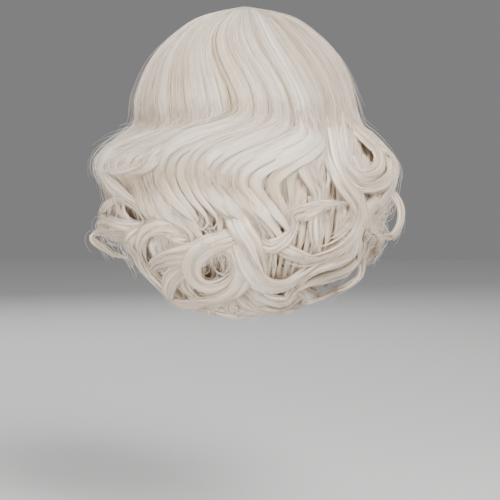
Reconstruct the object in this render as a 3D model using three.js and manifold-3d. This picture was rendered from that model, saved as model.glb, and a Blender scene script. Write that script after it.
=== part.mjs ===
// A short curly wig as it sits on a head: a stretch cap with its rim band and nape strap, a waved
// crown of hair, and the curled sections under it. Millimetres, +Z up, the wearer faces -Y.
// The origin is the top of the head, where the cap rests.
import * as THREE from "three";
import { mergeVertices } from "three/addons/utils/BufferGeometryUtils.js";
import Module from "manifold-3d";

const wasm = await Module();
wasm.setup();

// Head that the cap fits
const headWidth = 156;
const headLength = 194;
const headDome = 95; // from the widest level of the head up to its top

// Cap, rim band and nape strap
const capWall = 1.6;
const capStrip = 56; // width of the cap's middle panel
const bandWall = 2.4;
const bandHeight = 12;
const strapWall = 1.2;
const strapHeight = 9;
const strapSweep = 80; // round the nape, in degrees
const pieceGap = 0.35;
const seatGap = 1.7; // hair to cap at the corners of their facets

// Hair over the cap
const hairOverTop = 12.4;
const hairAtSides = 16;
const hairAtBack = 12;
const hairAtFront = 7;
const hangLength = 171; // from the widest level of the head to the lowest curls

// Crown of hair, laid in ridges that follow the waves
const crownDepth = 9;
const ridgeTurn = 17.5; // sweep of one ridge, in degrees
const ridgeHeight = 2.4;
const waveSwing = 31;
const hemScallop = 5; // how far the valleys of the crown's hem stop above its ridges
const whorlRadius = 5;
const sectionGap = 0.9;
const partingTurn = 158; // side parting, on the wearer's left
const openFaceTurn = 141; // how far round the front edges of the hair lie, from the middle of the back

// Curled sections under the crown
const curtainWall = 3;
const curtainScallop = 3.5; // of a curtain's hem, up and down
const middleInset = 11.5;
const napeInset = 17;
const lockWidth = 20;
const lockDepth = 14;

// Facets
const capColumns = 32;
const capRows = 7;
const crownRows = 9;
const ridgeColumns = 3; // columns to a ridge
const ridgeRows = 3; // rows over which the ridges rise from the whorl
const curtainRows = 5;
const columnTurn = 9;
const lockSides = 5;
const lockStep = 16;
const lockBend = 45; // largest turn of a lock in one step, in degrees
const curveSamples = 400;
const curveStep = 0.001; // share of the outline curve between samples that give a direction
const weldGap = 1e-4;

// Shares of a lock's length: where it starts to swell and is full, has left its sheet, and tapers from
const lockSwells = { from: -0.25, to: 0.2 };
const lockLifted = 1 / 3;
const lockTapers = 0.4;
const lockTip = 0.15; // width of its tip, as a share of its own width

const radians = THREE.MathUtils.degToRad;
const fullTurn = 360;
const domeHeight = headDome + capWall + hairOverTop;
const reach = {
  side: headWidth / 2 + capWall + hairAtSides,
  back: headLength / 2 + capWall + hairAtBack,
  front: headLength / 2 + capWall + hairAtFront,
};

// Outline of the whole head of hair. Level runs from -1 at the top to 0 at the widest level of the
// head and 1 at the lowest curl. Side and back are shares of the reach at the widest level.
const outlineRows = [
  { level: -1, side: 0, back: 0 },
  { level: -0.97, side: 0.25, back: 0.24 },
  { level: -0.905, side: 0.475, back: 0.455 },
  { level: -0.78, side: 0.67, back: 0.655 },
  { level: -0.66, side: 0.803, back: 0.785 },
  { level: -0.52, side: 0.905, back: 0.885 },
  { level: -0.265, side: 1, back: 1 },
  { level: -0.065, side: 1.055, back: 1.03 },
  { level: 0.04, side: 1.18, back: 1.06 },
  { level: 0.125, side: 1.3, back: 1.1 },
  { level: 0.215, side: 1.345, back: 1.14 },
  { level: 0.38, side: 1.33, back: 1.14 },
  { level: 0.525, side: 1.28, back: 1.105 },
  { level: 0.675, side: 1.05, back: 1 },
  { level: 0.805, side: 0.83, back: 0.865 },
  { level: 0.92, side: 0.61, back: 0.705 },
];

// Waves of the crown and the level of its hem, round the head. Turn is in degrees from the middle
// of the back, and grows towards the wearer's right. From its root a strand swings right until
// rightLevel and then left until leftLevel, by these shares of waveSwing.
const roundRows = [
  { at: -180, right: 0.3, rightLevel: -0.26, left: 0.3, leftLevel: 0.15, hem: 0.1 },
  { at: -120, right: 0.5, rightLevel: -0.26, left: 0.5, leftLevel: 0.15, hem: 0.16 },
  { at: -90, right: 0.65, rightLevel: -0.12, left: 0.8, leftLevel: 0.16, hem: 0.2 },
  { at: -55, right: 0.8, rightLevel: -0.06, left: 1.15, leftLevel: 0.17, hem: 0.34 },
  { at: -35, right: 0.9, rightLevel: -0.16, left: 1.05, leftLevel: 0.16, hem: 0.4 },
  { at: -9, right: 1, rightLevel: -0.24, left: 1, leftLevel: 0.16, hem: 0.41 },
  { at: 8, right: 1, rightLevel: -0.17, left: 1, leftLevel: 0.2, hem: 0.4 },
  { at: 14, right: 0.95, rightLevel: -0.02, left: 0.9, leftLevel: 0.225, hem: 0.39 },
  { at: 24, right: 0.8, rightLevel: -0.1, left: 0.1, leftLevel: 0.2, hem: 0.16 },
  { at: 50, right: 0.45, rightLevel: -0.2, left: 0.1, leftLevel: 0.2, hem: 0.09 },
  { at: 90, right: 0.35, rightLevel: -0.25, left: 0.2, leftLevel: 0.15, hem: 0.12 },
  { at: 180, right: 0.3, rightLevel: -0.26, left: 0.3, leftLevel: 0.15, hem: 0.1 },
];

// Levels at which the swings start, where a strand has swung back from the left, and where it ends
const waveStart = -0.87;
const waveReturn = 0.45;
const waveEnd = 0.64;
const swingBack = 0.95; // share of the swing left that the hair swings back
const swingEnd = 0.4; // share of the swing left that it swings left again at its end

// Levels between which hair that starts over the face is swept back to the open face's edges
const sweptBack = 0.85; // share of the way
const sweepLevels = { from: -0.55, to: -0.08 };

// Levels between which the underside of the crown leaves the cap, and levels over which a curtain does
const crownLeaves = { from: -0.5, to: -0.1 };
const curtainLeaves = 0.24;

// Lower edge of the cap, from the nape at turn 0 round the ear to the forehead at turn 180.
// Drop is a share of headDome below the top of the head.
const edgeRows = [
  { at: 0, drop: 1.5 },
  { at: 35, drop: 1.44 },
  { at: 60, drop: 1.24 },
  { at: 78, drop: 0.98 },
  { at: 96, drop: 0.88 },
  { at: 108, drop: 0.93 },
  { at: 117, drop: 1.08 },
  { at: 128, drop: 0.92 },
  { at: 142, drop: 0.65 },
  { at: 162, drop: 0.48 },
  { at: 180, drop: 0.44 },
];

// Locks of each section. A lock starts at its turn and level and heads so many degrees from
// straight down, positive towards the wearer's right. Its arcs are [length, bend in degrees], with
// the length as a share of hangLength. Width is a share of lockWidth, and lift is how far above the
// outline its middle lies once it has left its sheet, as a share of lockDepth. A rolled lock curls
// in the upright plane that points out from the head instead: its heading is positive outwards, and
// drift is its sideways lean in degrees.
const locks = {
  crown_back: [
    { turn: 25, level: 0.08, heading: 34, width: 0.9, lift: -0.1,
      arcs: [[0.27, 10], [0.3, -120], [0.34, -20]] },
    { turn: 23, level: 0.06, heading: -45, width: 0.7, lift: 0,
      arcs: [[0.2, -35], [0.11, 110], [0.12, 0], [0.14, -80]] },
    { turn: 21, level: 0.12, heading: 25, width: 0.6, lift: -0.25,
      arcs: [[0.13, -10], [0.1, -60], [0.11, -50]] },
    { turn: -24, level: 0.28, heading: -60, width: 1, lift: -0.2,
      arcs: [[0.14, 20], [0.12, 50], [0.1, 50]] },
    { turn: -10, level: 0.26, heading: -40, width: 1, lift: -0.2,
      arcs: [[0.14, 30], [0.13, 60], [0.1, 40]] },
  ],
  crown_left: [
    { turn: -60, level: 0.16, heading: -35, width: 1, lift: -0.2,
      arcs: [[0.14, -20], [0.14, 70], [0.1, 60]] },
    { turn: -78, level: 0.1, heading: 60, width: 1.2, lift: -0.95, rolled: true, drift: -6,
      arcs: [[0.07, -60], [0.15, -80], [0.1, -70]] },
    { turn: -96, level: 0.08, heading: 55, width: 1.3, lift: -0.95, rolled: true, drift: -10,
      arcs: [[0.07, -50], [0.16, -90], [0.1, -70]] },
  ],
  crown_right: [
    { turn: 62, level: -0.02, heading: 45, width: 1, lift: -0.2,
      arcs: [[0.16, -20], [0.16, -90], [0.12, -60]] },
    { turn: 76, level: -0.06, heading: 45, width: 1, lift: -0.95, rolled: true, drift: 8,
      arcs: [[0.12, 5], [0.2, -100], [0.12, -80]] },
    { turn: 92, level: -0.02, heading: 50, width: 1.2, lift: -0.95, rolled: true, drift: -8,
      arcs: [[0.1, -10], [0.22, -110], [0.12, -80]] },
  ],
  fringe_left: [
    { turn: -116, level: 0.02, heading: 30, width: 1.2, lift: -0.2,
      arcs: [[0.2, -40], [0.18, 110], [0.12, 60]] },
    { turn: -128, level: -0.04, heading: -10, width: 1.1, lift: 0,
      arcs: [[0.2, 40], [0.18, 70], [0.14, 60]] },
  ],
  fringe_right: [
    { turn: 116, level: 0.02, heading: -30, width: 1.2, lift: -0.2,
      arcs: [[0.2, 40], [0.18, -110], [0.12, -60]] },
    { turn: 128, level: -0.04, heading: 10, width: 1.1, lift: 0,
      arcs: [[0.2, -40], [0.18, -70], [0.14, -60]] },
  ],
  middle_left: [
    { turn: -62, level: 0.54, heading: 10, width: 1, lift: -0.5,
      arcs: [[0.14, 20], [0.16, 50], [0.12, 30]] },
    { turn: -76, level: 0.46, heading: -50, width: 1, lift: -0.45,
      arcs: [[0.14, 40], [0.14, 90], [0.12, 70]] },
    { turn: -84, level: 0.3, heading: 60, width: 1, lift: -0.95, rolled: true, drift: -12,
      arcs: [[0.1, 0], [0.14, -120], [0.1, -80]] },
    { turn: -98, level: 0.56, heading: -40, width: 1.1, lift: -0.45,
      arcs: [[0.16, 30], [0.14, 90], [0.12, 70]] },
    { turn: -114, level: 0.5, heading: 30, width: 1.1, lift: -0.45,
      arcs: [[0.16, -30], [0.14, 80], [0.12, 80]] },
    { turn: -122, level: 0.6, heading: 20, width: 1, lift: -0.5,
      arcs: [[0.14, 20], [0.14, 70], [0.1, 60]] },
  ],
  middle_back: [
    { turn: -7, level: 0.39, heading: 35, width: 1, lift: -0.5,
      arcs: [[0.13, 15], [0.15, -25], [0.16, -60]] },
    { turn: -2, level: 0.53, heading: 5, width: 1.1, lift: -0.5,
      arcs: [[0.15, 20], [0.18, 60], [0.19, 30], [0.26, 0]] },
    { turn: -4, level: 0.47, heading: -80, width: 1, lift: -0.25,
      arcs: [[0.2, 15], [0.15, 80], [0.13, 60], [0.13, 80], [0.09, 70]] },
    { turn: -6, level: 0.45, heading: -100, width: 0.9, lift: -0.6,
      arcs: [[0.19, 8], [0.16, 10], [0.15, 25], [0.14, 40]] },
    { turn: 34, level: 0.36, heading: 30, width: 1, lift: -0.5,
      arcs: [[0.14, -20], [0.14, -80], [0.12, -60]] },
    { turn: -34, level: 0.5, heading: -30, width: 1, lift: -0.5,
      arcs: [[0.14, 30], [0.14, 60], [0.12, 40]] },
  ],
  middle_right: [
    { turn: 58, level: 0.54, heading: 10, width: 1, lift: -0.5,
      arcs: [[0.14, -10], [0.14, -70], [0.14, -50]] },
    { turn: 76, level: 0.42, heading: 35, width: 1.1, lift: -0.45,
      arcs: [[0.14, -20], [0.16, -80], [0.12, -70]] },
    { turn: 88, level: 0.3, heading: 35, width: 0.8, lift: -0.95, rolled: true, drift: 6,
      arcs: [[0.12, 5], [0.16, -100], [0.1, -60]] },
    { turn: 98, level: 0.56, heading: 30, width: 1.1, lift: -0.45,
      arcs: [[0.16, -30], [0.14, -90], [0.12, -70]] },
    { turn: 114, level: 0.5, heading: -30, width: 1.1, lift: -0.45,
      arcs: [[0.16, 30], [0.14, -80], [0.12, -80]] },
    { turn: 122, level: 0.6, heading: -20, width: 1, lift: -0.5,
      arcs: [[0.14, -20], [0.14, -70], [0.1, -60]] },
  ],
  nape_curls: [
    { turn: -2, level: 0.67, heading: 5, width: 1.1, lift: -0.9,
      arcs: [[0.15, -10], [0.15, -50], [0.18, -30], [0.12, -30]] },
    { turn: 0, level: 0.75, heading: 40, width: 0.9, lift: -0.9,
      arcs: [[0.15, 20], [0.13, 50], [0.1, 50]] },
    { turn: 26, level: 0.71, heading: 40, width: 0.9, lift: -0.9, arcs: [[0.18, 20], [0.16, 60]] },
    { turn: 50, level: 0.55, heading: 20, width: 1, lift: -0.9,
      arcs: [[0.15, -20], [0.12, -60], [0.12, -50]] },
    { turn: -48, level: 0.56, heading: 0, width: 1, lift: -0.9,
      arcs: [[0.15, 20], [0.14, 50], [0.12, 30]] },
    { turn: -24, level: 0.71, heading: -20, width: 1, lift: -0.9,
      arcs: [[0.15, 30], [0.13, 60], [0.1, 40]] },
  ],
};

// Sheets of hair that the locks grow from. Crown sheets lie on the cap. Curtains leave the cap at
// their top level and hang at their inset below the outline down to their bottom level.
const backTurn = 50;
const sideTurn = 104;
const middleTurn = 44;
const napeTurn = 60;
const middleTop = -0.2;
const sheets = {
  crown_back: { from: -backTurn, to: backTurn },
  crown_left: { from: -sideTurn, to: -backTurn },
  crown_right: { from: backTurn, to: sideTurn },
  fringe_left: { from: -partingTurn, to: -sideTurn },
  fringe_right: { from: sideTurn, to: fullTurn - partingTurn },
  middle_left: { from: -openFaceTurn, to: -middleTurn, inset: middleInset, top: middleTop, bottom: 0.72 },
  middle_back: { from: -middleTurn, to: middleTurn, inset: middleInset, top: middleTop, bottom: 0.66 },
  middle_right: { from: middleTurn, to: openFaceTurn, inset: middleInset, top: middleTop, bottom: 0.72 },
  nape_curls: { from: -napeTurn, to: napeTurn, inset: napeInset, top: 0.12, bottom: 0.87 },
};

const outlineCurve = new THREE.CatmullRomCurve3(
  outlineRows.map((row) => new THREE.Vector3(row.side, row.back, row.level)),
  false,
  "catmullrom",
  0.5,
);
const levelsAlong = Array.from({ length: curveSamples + 1 }, (_, sample) => {
  return outlineCurve.getPoint(sample / curveSamples).z;
});

// Share of the outline curve at which a level is reached
function alongAt(level) {
  const after = levelsAlong.findIndex((value) => value >= level);
  if (after < 0) return 1;
  if (after === 0) return 0;
  const before = levelsAlong[after - 1];
  return (after - 1 + (level - before) / (levelsAlong[after] - before)) / curveSamples;
}

// Value of one column of a table at a place between its rows, straight or eased from row to row
function between(rows, at, column, eased = false) {
  const last = rows.length - 1;
  if (at <= rows[0].at) return rows[0][column];
  if (at >= rows[last].at) return rows[last][column];
  const next = rows.findIndex((row) => row.at >= at);
  const share = (at - rows[next - 1].at) / (rows[next].at - rows[next - 1].at);
  const mix = eased ? THREE.MathUtils.smoothstep(share, 0, 1) : share;
  return THREE.MathUtils.lerp(rows[next - 1][column], rows[next][column], mix);
}

function heightOf(level) {
  return -headDome - level * (level < 0 ? domeHeight : hangLength);
}

// Radius of an ellipse with half axes on X and Y, at a turn from the middle of the back
function ellipseRadius(turn, side, back) {
  return (side * back) / Math.hypot(back * Math.sin(turn), side * Math.cos(turn));
}

function around(turn, radius, height) {
  return new THREE.Vector3(-radius * Math.sin(turn), radius * Math.cos(turn), height);
}

// Point on the outline of the hair
function onOutline(turn, along) {
  const row = outlineCurve.getPoint(THREE.MathUtils.clamp(along, 0, 1));
  const facing = Math.cos(turn) > 0 ? reach.back : reach.front;
  const side = Math.max(row.x, curveStep) * reach.side;
  const back = Math.max(row.y, curveStep) * facing;
  return around(turn, ellipseRadius(turn, side, back), heightOf(row.z));
}

// Point, outward direction and local scale of the outline
function outlineAt(turn, along) {
  const point = onOutline(turn, along);
  const nextTurn = onOutline(turn + curveStep, along);
  const perTurn = nextTurn.sub(onOutline(turn - curveStep, along)).divideScalar(2 * curveStep);
  const above = Math.max(along - curveStep, 0);
  const below = Math.min(along + curveStep, 1);
  const perAlong = onOutline(turn, below).sub(onOutline(turn, above)).divideScalar(below - above);
  const out = perAlong.clone().cross(perTurn).normalize();
  return { point, out, perTurn, perAlong };
}

// Moves a point along its line from the middle of the head, onto the head grown by an allowance
function ontoHead(point, allowance, onlyOutwards = false) {
  const offset = point.clone().setZ(point.z + headDome);
  const size = Math.hypot(
    offset.x / (headWidth / 2 + allowance),
    offset.y / (headLength / 2 + allowance),
    offset.z / (headDome + allowance),
  );
  if (onlyOutwards && size >= 1) return point.clone();
  return offset.divideScalar(size).setZ(offset.z - headDome);
}

// Turn, in radians, of the strand that starts at a turn in degrees, where it passes a level
function strandTurn(start, level, radius) {
  const over = Math.max(Math.abs(start) - openFaceTurn, 0);
  const eased = (from, to) => THREE.MathUtils.smoothstep(level, from, to);
  const swept = over * sweptBack * eased(sweepLevels.from, sweepLevels.to);
  const [right, rightLevel, left, leftLevel] = ["right", "rightLevel", "left", "leftLevel"].map((column) =>
    between(roundRows, start, column),
  );
  const swing =
    right * eased(waveStart, rightLevel) -
    (right + left) * eased(rightLevel, leftLevel) +
    left * swingBack * eased(leftLevel, waveReturn) -
    left * swingEnd * eased(waveReturn, waveEnd);
  return radians(start - Math.sign(start) * swept) + (waveSwing * swing) / Math.max(radius, waveSwing);
}

// Closed solid between two grids of points, given as rows of equal length. A ringed grid's last
// column lies on its first, and a row may close to one point.
function betweenGrids(outer, inner, ringed = false) {
  const rows = outer.length;
  const columns = outer[0].length;
  const positions = [outer, inner].flat(2).flatMap((point) => point.toArray());
  const index = [];
  const at = (face, row, column) => (face * rows + row) * columns + column;
  const quad = (a, b, c, d) => index.push(a, b, c, a, c, d);
  for (let row = 0; row < rows - 1; row += 1) {
    for (let column = 0; column < columns - 1; column += 1) {
      const [right, below] = [column + 1, row + 1];
      quad(at(0, row, column), at(0, below, column), at(0, below, right), at(0, row, right));
      quad(at(1, row, column), at(1, row, right), at(1, below, right), at(1, below, column));
    }
  }
  for (let row = 0; row < rows - 1 && !ringed; row += 1) {
    const [last, below] = [columns - 1, row + 1];
    quad(at(0, row, 0), at(1, row, 0), at(1, below, 0), at(0, below, 0));
    quad(at(0, below, last), at(1, below, last), at(1, row, last), at(0, row, last));
  }
  for (let column = 0; column < columns - 1; column += 1) {
    const [last, right] = [rows - 1, column + 1];
    quad(at(0, 0, right), at(1, 0, right), at(1, 0, column), at(0, 0, column));
    quad(at(0, last, column), at(1, last, column), at(1, last, right), at(0, last, right));
  }
  const geometry = new THREE.BufferGeometry();
  geometry.setAttribute("position", new THREE.Float32BufferAttribute(positions, 3));
  geometry.setIndex(index);
  return geometry;
}

// Crown sheet: columns follow the strands, some to a ridge, and the hem is scalloped with them
function crownSheet({ from, to }, grow) {
  const columns = Math.round((to - from) / ridgeTurn) * ridgeColumns;
  const top = whorlRadius / reach.side / outlineRows[1].side / (outlineRows.length - 1);
  const outer = [];
  const inner = [];
  for (let row = 0; row <= crownRows; row += 1) {
    const outerRow = [];
    const innerRow = [];
    for (let column = 0; column <= columns; column += 1) {
      const start = THREE.MathUtils.lerp(from, to, column / columns);
      const valley = column % ridgeColumns === 0;
      const hem = between(roundRows, start, "hem") + (grow - (valley ? hemScallop : 0)) / hangLength;
      const along = THREE.MathUtils.lerp(top, alongAt(hem), row / crownRows);
      const level = outlineCurve.getPoint(along).z;
      const radius = Math.hypot(onOutline(radians(start), along).x, onOutline(radians(start), along).y);
      const edge = column === 0 ? 1 : column === columns ? -1 : 0;
      const turn = strandTurn(start, level, radius) + (edge * (sectionGap / 2 - grow)) / radius;
      const { point, out } = outlineAt(turn, along);
      const bodied = Math.min(row / ridgeRows, 1);
      const ridge = valley ? -ridgeHeight * bodied : 0;
      const seated = ontoHead(point, capWall + seatGap - grow);
      const free = point.clone().addScaledVector(out, -crownDepth - grow);
      const hanging = THREE.MathUtils.smoothstep(level, crownLeaves.from, crownLeaves.to);
      const under = seated.lerp(free, hanging);
      outerRow.push(point.addScaledVector(out, ridge + grow));
      innerRow.push(ontoHead(under, capWall + seatGap - grow, true));
    }
    outer.push(outerRow);
    inner.push(innerRow);
  }
  return betweenGrids(outer, inner);
}

// Curtain: a thinner sheet that leaves the cap under the crown and hangs inside the outline
function curtainSheet({ from, to, inset, top, bottom }, grow) {
  const columns = Math.round((to - from) / columnTurn);
  const outer = [];
  const inner = [];
  for (let row = 0; row <= curtainRows; row += 1) {
    const outerRow = [];
    const innerRow = [];
    for (let column = 0; column <= columns; column += 1) {
      const hem = bottom + (grow + (column % 2 ? curtainScallop : -curtainScallop)) / hangLength;
      const level = THREE.MathUtils.lerp(top - grow / domeHeight, hem, row / curtainRows);
      const along = alongAt(level);
      const edge = column === 0 ? 1 : column === columns ? -1 : 0;
      const start = radians(THREE.MathUtils.lerp(from, to, column / columns));
      const turn = start + (edge * (sectionGap / 2 - grow)) / reach.back;
      const { point, out } = outlineAt(turn, along);
      const seated = ontoHead(point, capWall + seatGap - grow);
      const free = point.clone().addScaledVector(out, -inset - curtainWall - grow);
      const hanging = THREE.MathUtils.smoothstep(level, top, top + curtainLeaves);
      const under = ontoHead(seated.lerp(free, hanging), capWall + seatGap - grow, true);
      innerRow.push(under);
      outerRow.push(under.clone().addScaledVector(out, curtainWall + 2 * grow));
    }
    outer.push(outerRow);
    inner.push(innerRow);
  }
  return betweenGrids(outer, inner);
}

// Path of a lock's middle, with the direction across it and the direction of its depth
function lockPath({ turn: startTurn, level, heading, arcs, lift, rolled = false, drift = 0 }, rootDepth) {
  const total = arcs.reduce((sum, [length]) => sum + length, 0) * hangLength;
  const stations = [];
  let turn = radians(startTurn);
  let along = alongAt(level);
  let aim = radians(heading);
  let raised = 0;
  let done = 0;
  const place = () => {
    const { point, out, perTurn, perAlong } = outlineAt(turn, along);
    const lifted = Math.min(done / total / lockLifted, 1);
    const height = raised + THREE.MathUtils.lerp(-rootDepth, lift * lockDepth, lifted);
    stations.push({ middle: point.addScaledVector(out, height), out, share: done / total });
    return { turnScale: Math.max(perTurn.length(), headWidth / 4), alongScale: perAlong.length() };
  };
  for (const [length, bend] of arcs) {
    const run = length * hangLength;
    const steps = Math.max(Math.round(run / lockStep), Math.ceil(Math.abs(bend) / lockBend), 1);
    for (let step = 0; step < steps; step += 1) {
      const { turnScale, alongScale } = place();
      aim += radians(bend) / steps / 2;
      const sideways = rolled ? Math.tan(radians(drift)) : Math.sin(aim);
      turn += ((run / steps) * sideways) / turnScale;
      along = Math.min(along + ((run / steps) * Math.cos(aim)) / alongScale, 1 - curveStep);
      if (rolled) raised += (run / steps) * Math.sin(aim);
      aim += radians(bend) / steps / 2;
      done += run / steps;
    }
  }
  place();
  return stations;
}

// Closed tapered body round a lock's path
function lockBody(row, rootDepth, grow) {
  const stations = lockPath(row, rootDepth);
  const positions = [];
  const index = [];
  const last = stations.length - 1;
  stations.forEach(({ middle, out, share }, i) => {
    const ahead = stations[Math.min(i + 1, last)].middle;
    const behind = stations[Math.max(i - 1, 0)].middle;
    const tangent = ahead.clone().sub(behind).normalize();
    const across = row.rolled ? radialAcross(middle) : tangent.clone().cross(out).normalize();
    const depthWay = across.clone().cross(tangent).normalize();
    const root = THREE.MathUtils.smoothstep(share, lockSwells.from, lockSwells.to);
    const taper = THREE.MathUtils.lerp(1, lockTip, THREE.MathUtils.smoothstep(share, lockTapers, 1));
    const halfWidth = (lockWidth / 2) * row.width * root * taper + grow;
    const halfDepth = (lockDepth / 2) * root * Math.sqrt(taper) + grow;
    const shift = i === 0 ? -grow : i === last ? grow : 0;
    for (let side = 0; side < lockSides; side += 1) {
      const angle = (2 * Math.PI * side) / lockSides;
      const point = middle.clone().addScaledVector(tangent, shift);
      point.addScaledVector(across, halfWidth * Math.cos(angle));
      point.addScaledVector(depthWay, halfDepth * Math.sin(angle));
      positions.push(...point.toArray());
    }
  });
  for (let i = 0; i < last; i += 1) {
    for (let side = 0; side < lockSides; side += 1) {
      const a = i * lockSides + side;
      const b = i * lockSides + ((side + 1) % lockSides);
      index.push(a, b + lockSides, b, a, a + lockSides, b + lockSides);
    }
  }
  for (let side = 1; side < lockSides - 1; side += 1) {
    const end = last * lockSides;
    index.push(0, side, side + 1, end, end + side + 1, end + side);
  }
  const geometry = new THREE.BufferGeometry();
  geometry.setAttribute("position", new THREE.Float32BufferAttribute(positions, 3));
  geometry.setIndex(index);
  return geometry;
}

// Level direction round the head at a point, which a rolled lock is wide along
function radialAcross(point) {
  return new THREE.Vector3(-point.y, point.x, 0).normalize();
}

function solidOf(geometry) {
  const merged = mergeVertices(geometry, weldGap);
  const corners = merged.index.array;
  const triangles = [];
  for (let i = 0; i < corners.length; i += 3) {
    const [a, b, c] = corners.subarray(i, i + 3);
    if (a !== b && b !== c && c !== a) triangles.push(a, b, c);
  }
  const mesh = new wasm.Mesh({
    numProp: 3,
    vertProperties: new Float32Array(merged.attributes.position.array),
    triVerts: new Uint32Array(triangles),
  });
  return new wasm.Manifold(mesh);
}

function geometryOf(solid) {
  const mesh = solid.getMesh();
  const geometry = new THREE.BufferGeometry();
  const positions = new Float32Array((mesh.vertProperties.length / mesh.numProp) * 3);
  for (let i = 0; i < positions.length / 3; i += 1) {
    for (let k = 0; k < 3; k += 1) positions[3 * i + k] = mesh.vertProperties[i * mesh.numProp + k];
  }
  geometry.setAttribute("position", new THREE.BufferAttribute(positions, 3));
  geometry.setIndex(new THREE.BufferAttribute(new Uint32Array(mesh.triVerts), 1));
  return geometry;
}

// One section of hair, sheet and locks in one body, or grown on all sides as a cutter for others
function hairSection(name, grow = 0) {
  const sheet = sheets[name];
  const rootDepth = sheet.inset ? sheet.inset + curtainWall / 2 : crownDepth / 2;
  let hair = solidOf(sheet.inset ? curtainSheet(sheet, grow) : crownSheet(sheet, grow));
  for (const lock of locks[name]) hair = hair.add(solidOf(lockBody(lock, rootDepth, grow)));
  return hair;
}

// Point on the head grown by an allowance, at a turn and a polar angle from the top
function onHead(turn, polar, allowance) {
  const radius = ellipseRadius(turn, headWidth / 2 + allowance, headLength / 2 + allowance);
  return around(turn, radius * Math.sin(polar), (headDome + allowance) * Math.cos(polar) - headDome);
}

// Polar angle of the cap's lower edge
function edgePolar(turn) {
  const fromFront = THREE.MathUtils.euclideanModulo(THREE.MathUtils.radToDeg(turn) + fullTurn / 2, fullTurn);
  const wrapped = Math.abs(fromFront - fullTurn / 2);
  return Math.acos(1 - between(edgeRows, wrapped, "drop", true));
}

// Strip of the head's surface from one depth below the cap's edge to another
function headStrip({ from, to, columns, start, end, rows, inside, outside }) {
  const ringed = to - from >= fullTurn;
  const shareOf = (column) => (ringed ? column % columns : column) / columns;
  const turnOf = (column) => radians(THREE.MathUtils.lerp(from, to, shareOf(column)));
  const grid = (allowance) =>
    Array.from({ length: rows + 1 }, (_, row) =>
      Array.from({ length: columns + 1 }, (__, column) => {
        const turn = turnOf(column);
        return onHead(turn, THREE.MathUtils.lerp(start(turn), end(turn), row / rows), allowance);
      }),
    );
  return betweenGrids(grid(outside), grid(inside), ringed);
}

function cap() {
  return headStrip({
    from: -fullTurn / 2,
    to: fullTurn / 2,
    columns: capColumns,
    rows: capRows,
    start: () => 0,
    end: edgePolar,
    inside: 0,
    outside: capWall,
  });
}

// The cap's middle panel, which runs from the forehead to the nape, and the panels beside it
function capPanels() {
  const whole = solidOf(cap());
  const seamIn = (capStrip - pieceGap) / 2;
  const seamOut = (capStrip + pieceGap) / 2;
  return {
    cap_middle: whole.trimByPlane([1, 0, 0], -seamIn).trimByPlane([-1, 0, 0], -seamIn),
    cap_left: whole.trimByPlane([1, 0, 0], seamOut),
    cap_right: whole.trimByPlane([-1, 0, 0], seamOut),
  };
}

function rimBand() {
  return headStrip({
    from: -fullTurn / 2,
    to: fullTurn / 2,
    columns: capColumns,
    rows: 1,
    start: (turn) => edgePolar(turn) + pieceGap / headDome,
    end: (turn) => edgePolar(turn) + (pieceGap + bandHeight) / headDome,
    inside: capWall - bandWall,
    outside: capWall,
  });
}

function napeStrap() {
  const margin = pieceGap + (bandHeight - strapHeight) / 2;
  const facetTurn = fullTurn / capColumns;
  const halfColumns = Math.round(strapSweep / 2 / facetTurn);
  return headStrip({
    from: -halfColumns * facetTurn,
    to: halfColumns * facetTurn,
    columns: 2 * halfColumns,
    rows: 1,
    start: (turn) => edgePolar(turn) + margin / headDome,
    end: (turn) => edgePolar(turn) + (margin + strapHeight) / headDome,
    inside: capWall - bandWall - pieceGap - strapWall,
    outside: capWall - bandWall - pieceGap,
  });
}

// The cap and its band as one solid with pieceGap of clearance, which the hair is cut back from
function capClearance() {
  return headStrip({
    from: -fullTurn / 2,
    to: fullTurn / 2,
    columns: capColumns,
    rows: capRows + 2,
    start: () => 0,
    end: (turn) => edgePolar(turn) + (2 * pieceGap + bandHeight) / headDome,
    inside: -bandWall,
    outside: capWall + pieceGap,
  });
}

// Sections from the outside in. Each one is cut back where it would meet those before it.
const hairOrder = [
  "crown_back",
  "crown_right",
  "crown_left",
  "fringe_right",
  "fringe_left",
  "middle_back",
  "middle_right",
  "middle_left",
  "nape_curls",
];

// Largest body of a cut section, without the scraps that a cut leaves
function mainBody(solid) {
  return solid.decompose().reduce((best, body) => (body.volume() > best.volume() ? body : best));
}

function hairSections() {
  const sections = {};
  const clearance = solidOf(capClearance());
  hairOrder.forEach((name, i) => {
    let hair = hairSection(name).subtract(clearance);
    for (const outer of hairOrder.slice(0, i)) {
      hair = hair.subtract(hairSection(outer, pieceGap)).subtract(sections[outer]);
    }
    sections[name] = mainBody(hair);
  });
  return sections;
}

const finishes = {
  hair: { color: 0xd6cac2, roughness: 0.42, metalness: 0 },
  net: { color: 0xd9cbb8, roughness: 0.85, metalness: 0 },
  tape: { color: 0xcfc0ab, roughness: 0.75, metalness: 0 },
};

function mesh(name, solid, finish) {
  const piece = new THREE.Mesh(geometryOf(solid), new THREE.MeshStandardMaterial(finishes[finish]));
  piece.name = name;
  return piece;
}

const wig = new THREE.Group();
for (const [name, solid] of Object.entries(capPanels())) wig.add(mesh(name, solid, "net"));
wig.add(mesh("rim_band", solidOf(rimBand()), "tape"));
wig.add(mesh("nape_strap", solidOf(napeStrap()), "tape"));
for (const [name, solid] of Object.entries(hairSections())) wig.add(mesh(name, solid, "hair"));

export default wig;
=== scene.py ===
"""A short curly wig: off-white waved and curled hair over a stretch cap.

Metres, +Z up, the wearer faces -Y and the origin is the top of the head inside the cap. The hair is
built in locks. Each lock is a soft body with loose strands laid over it, and every lock follows
either the wave of the crown or its own short table of arcs.
"""

import enum
import logging
import math
from dataclasses import dataclass, field

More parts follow.
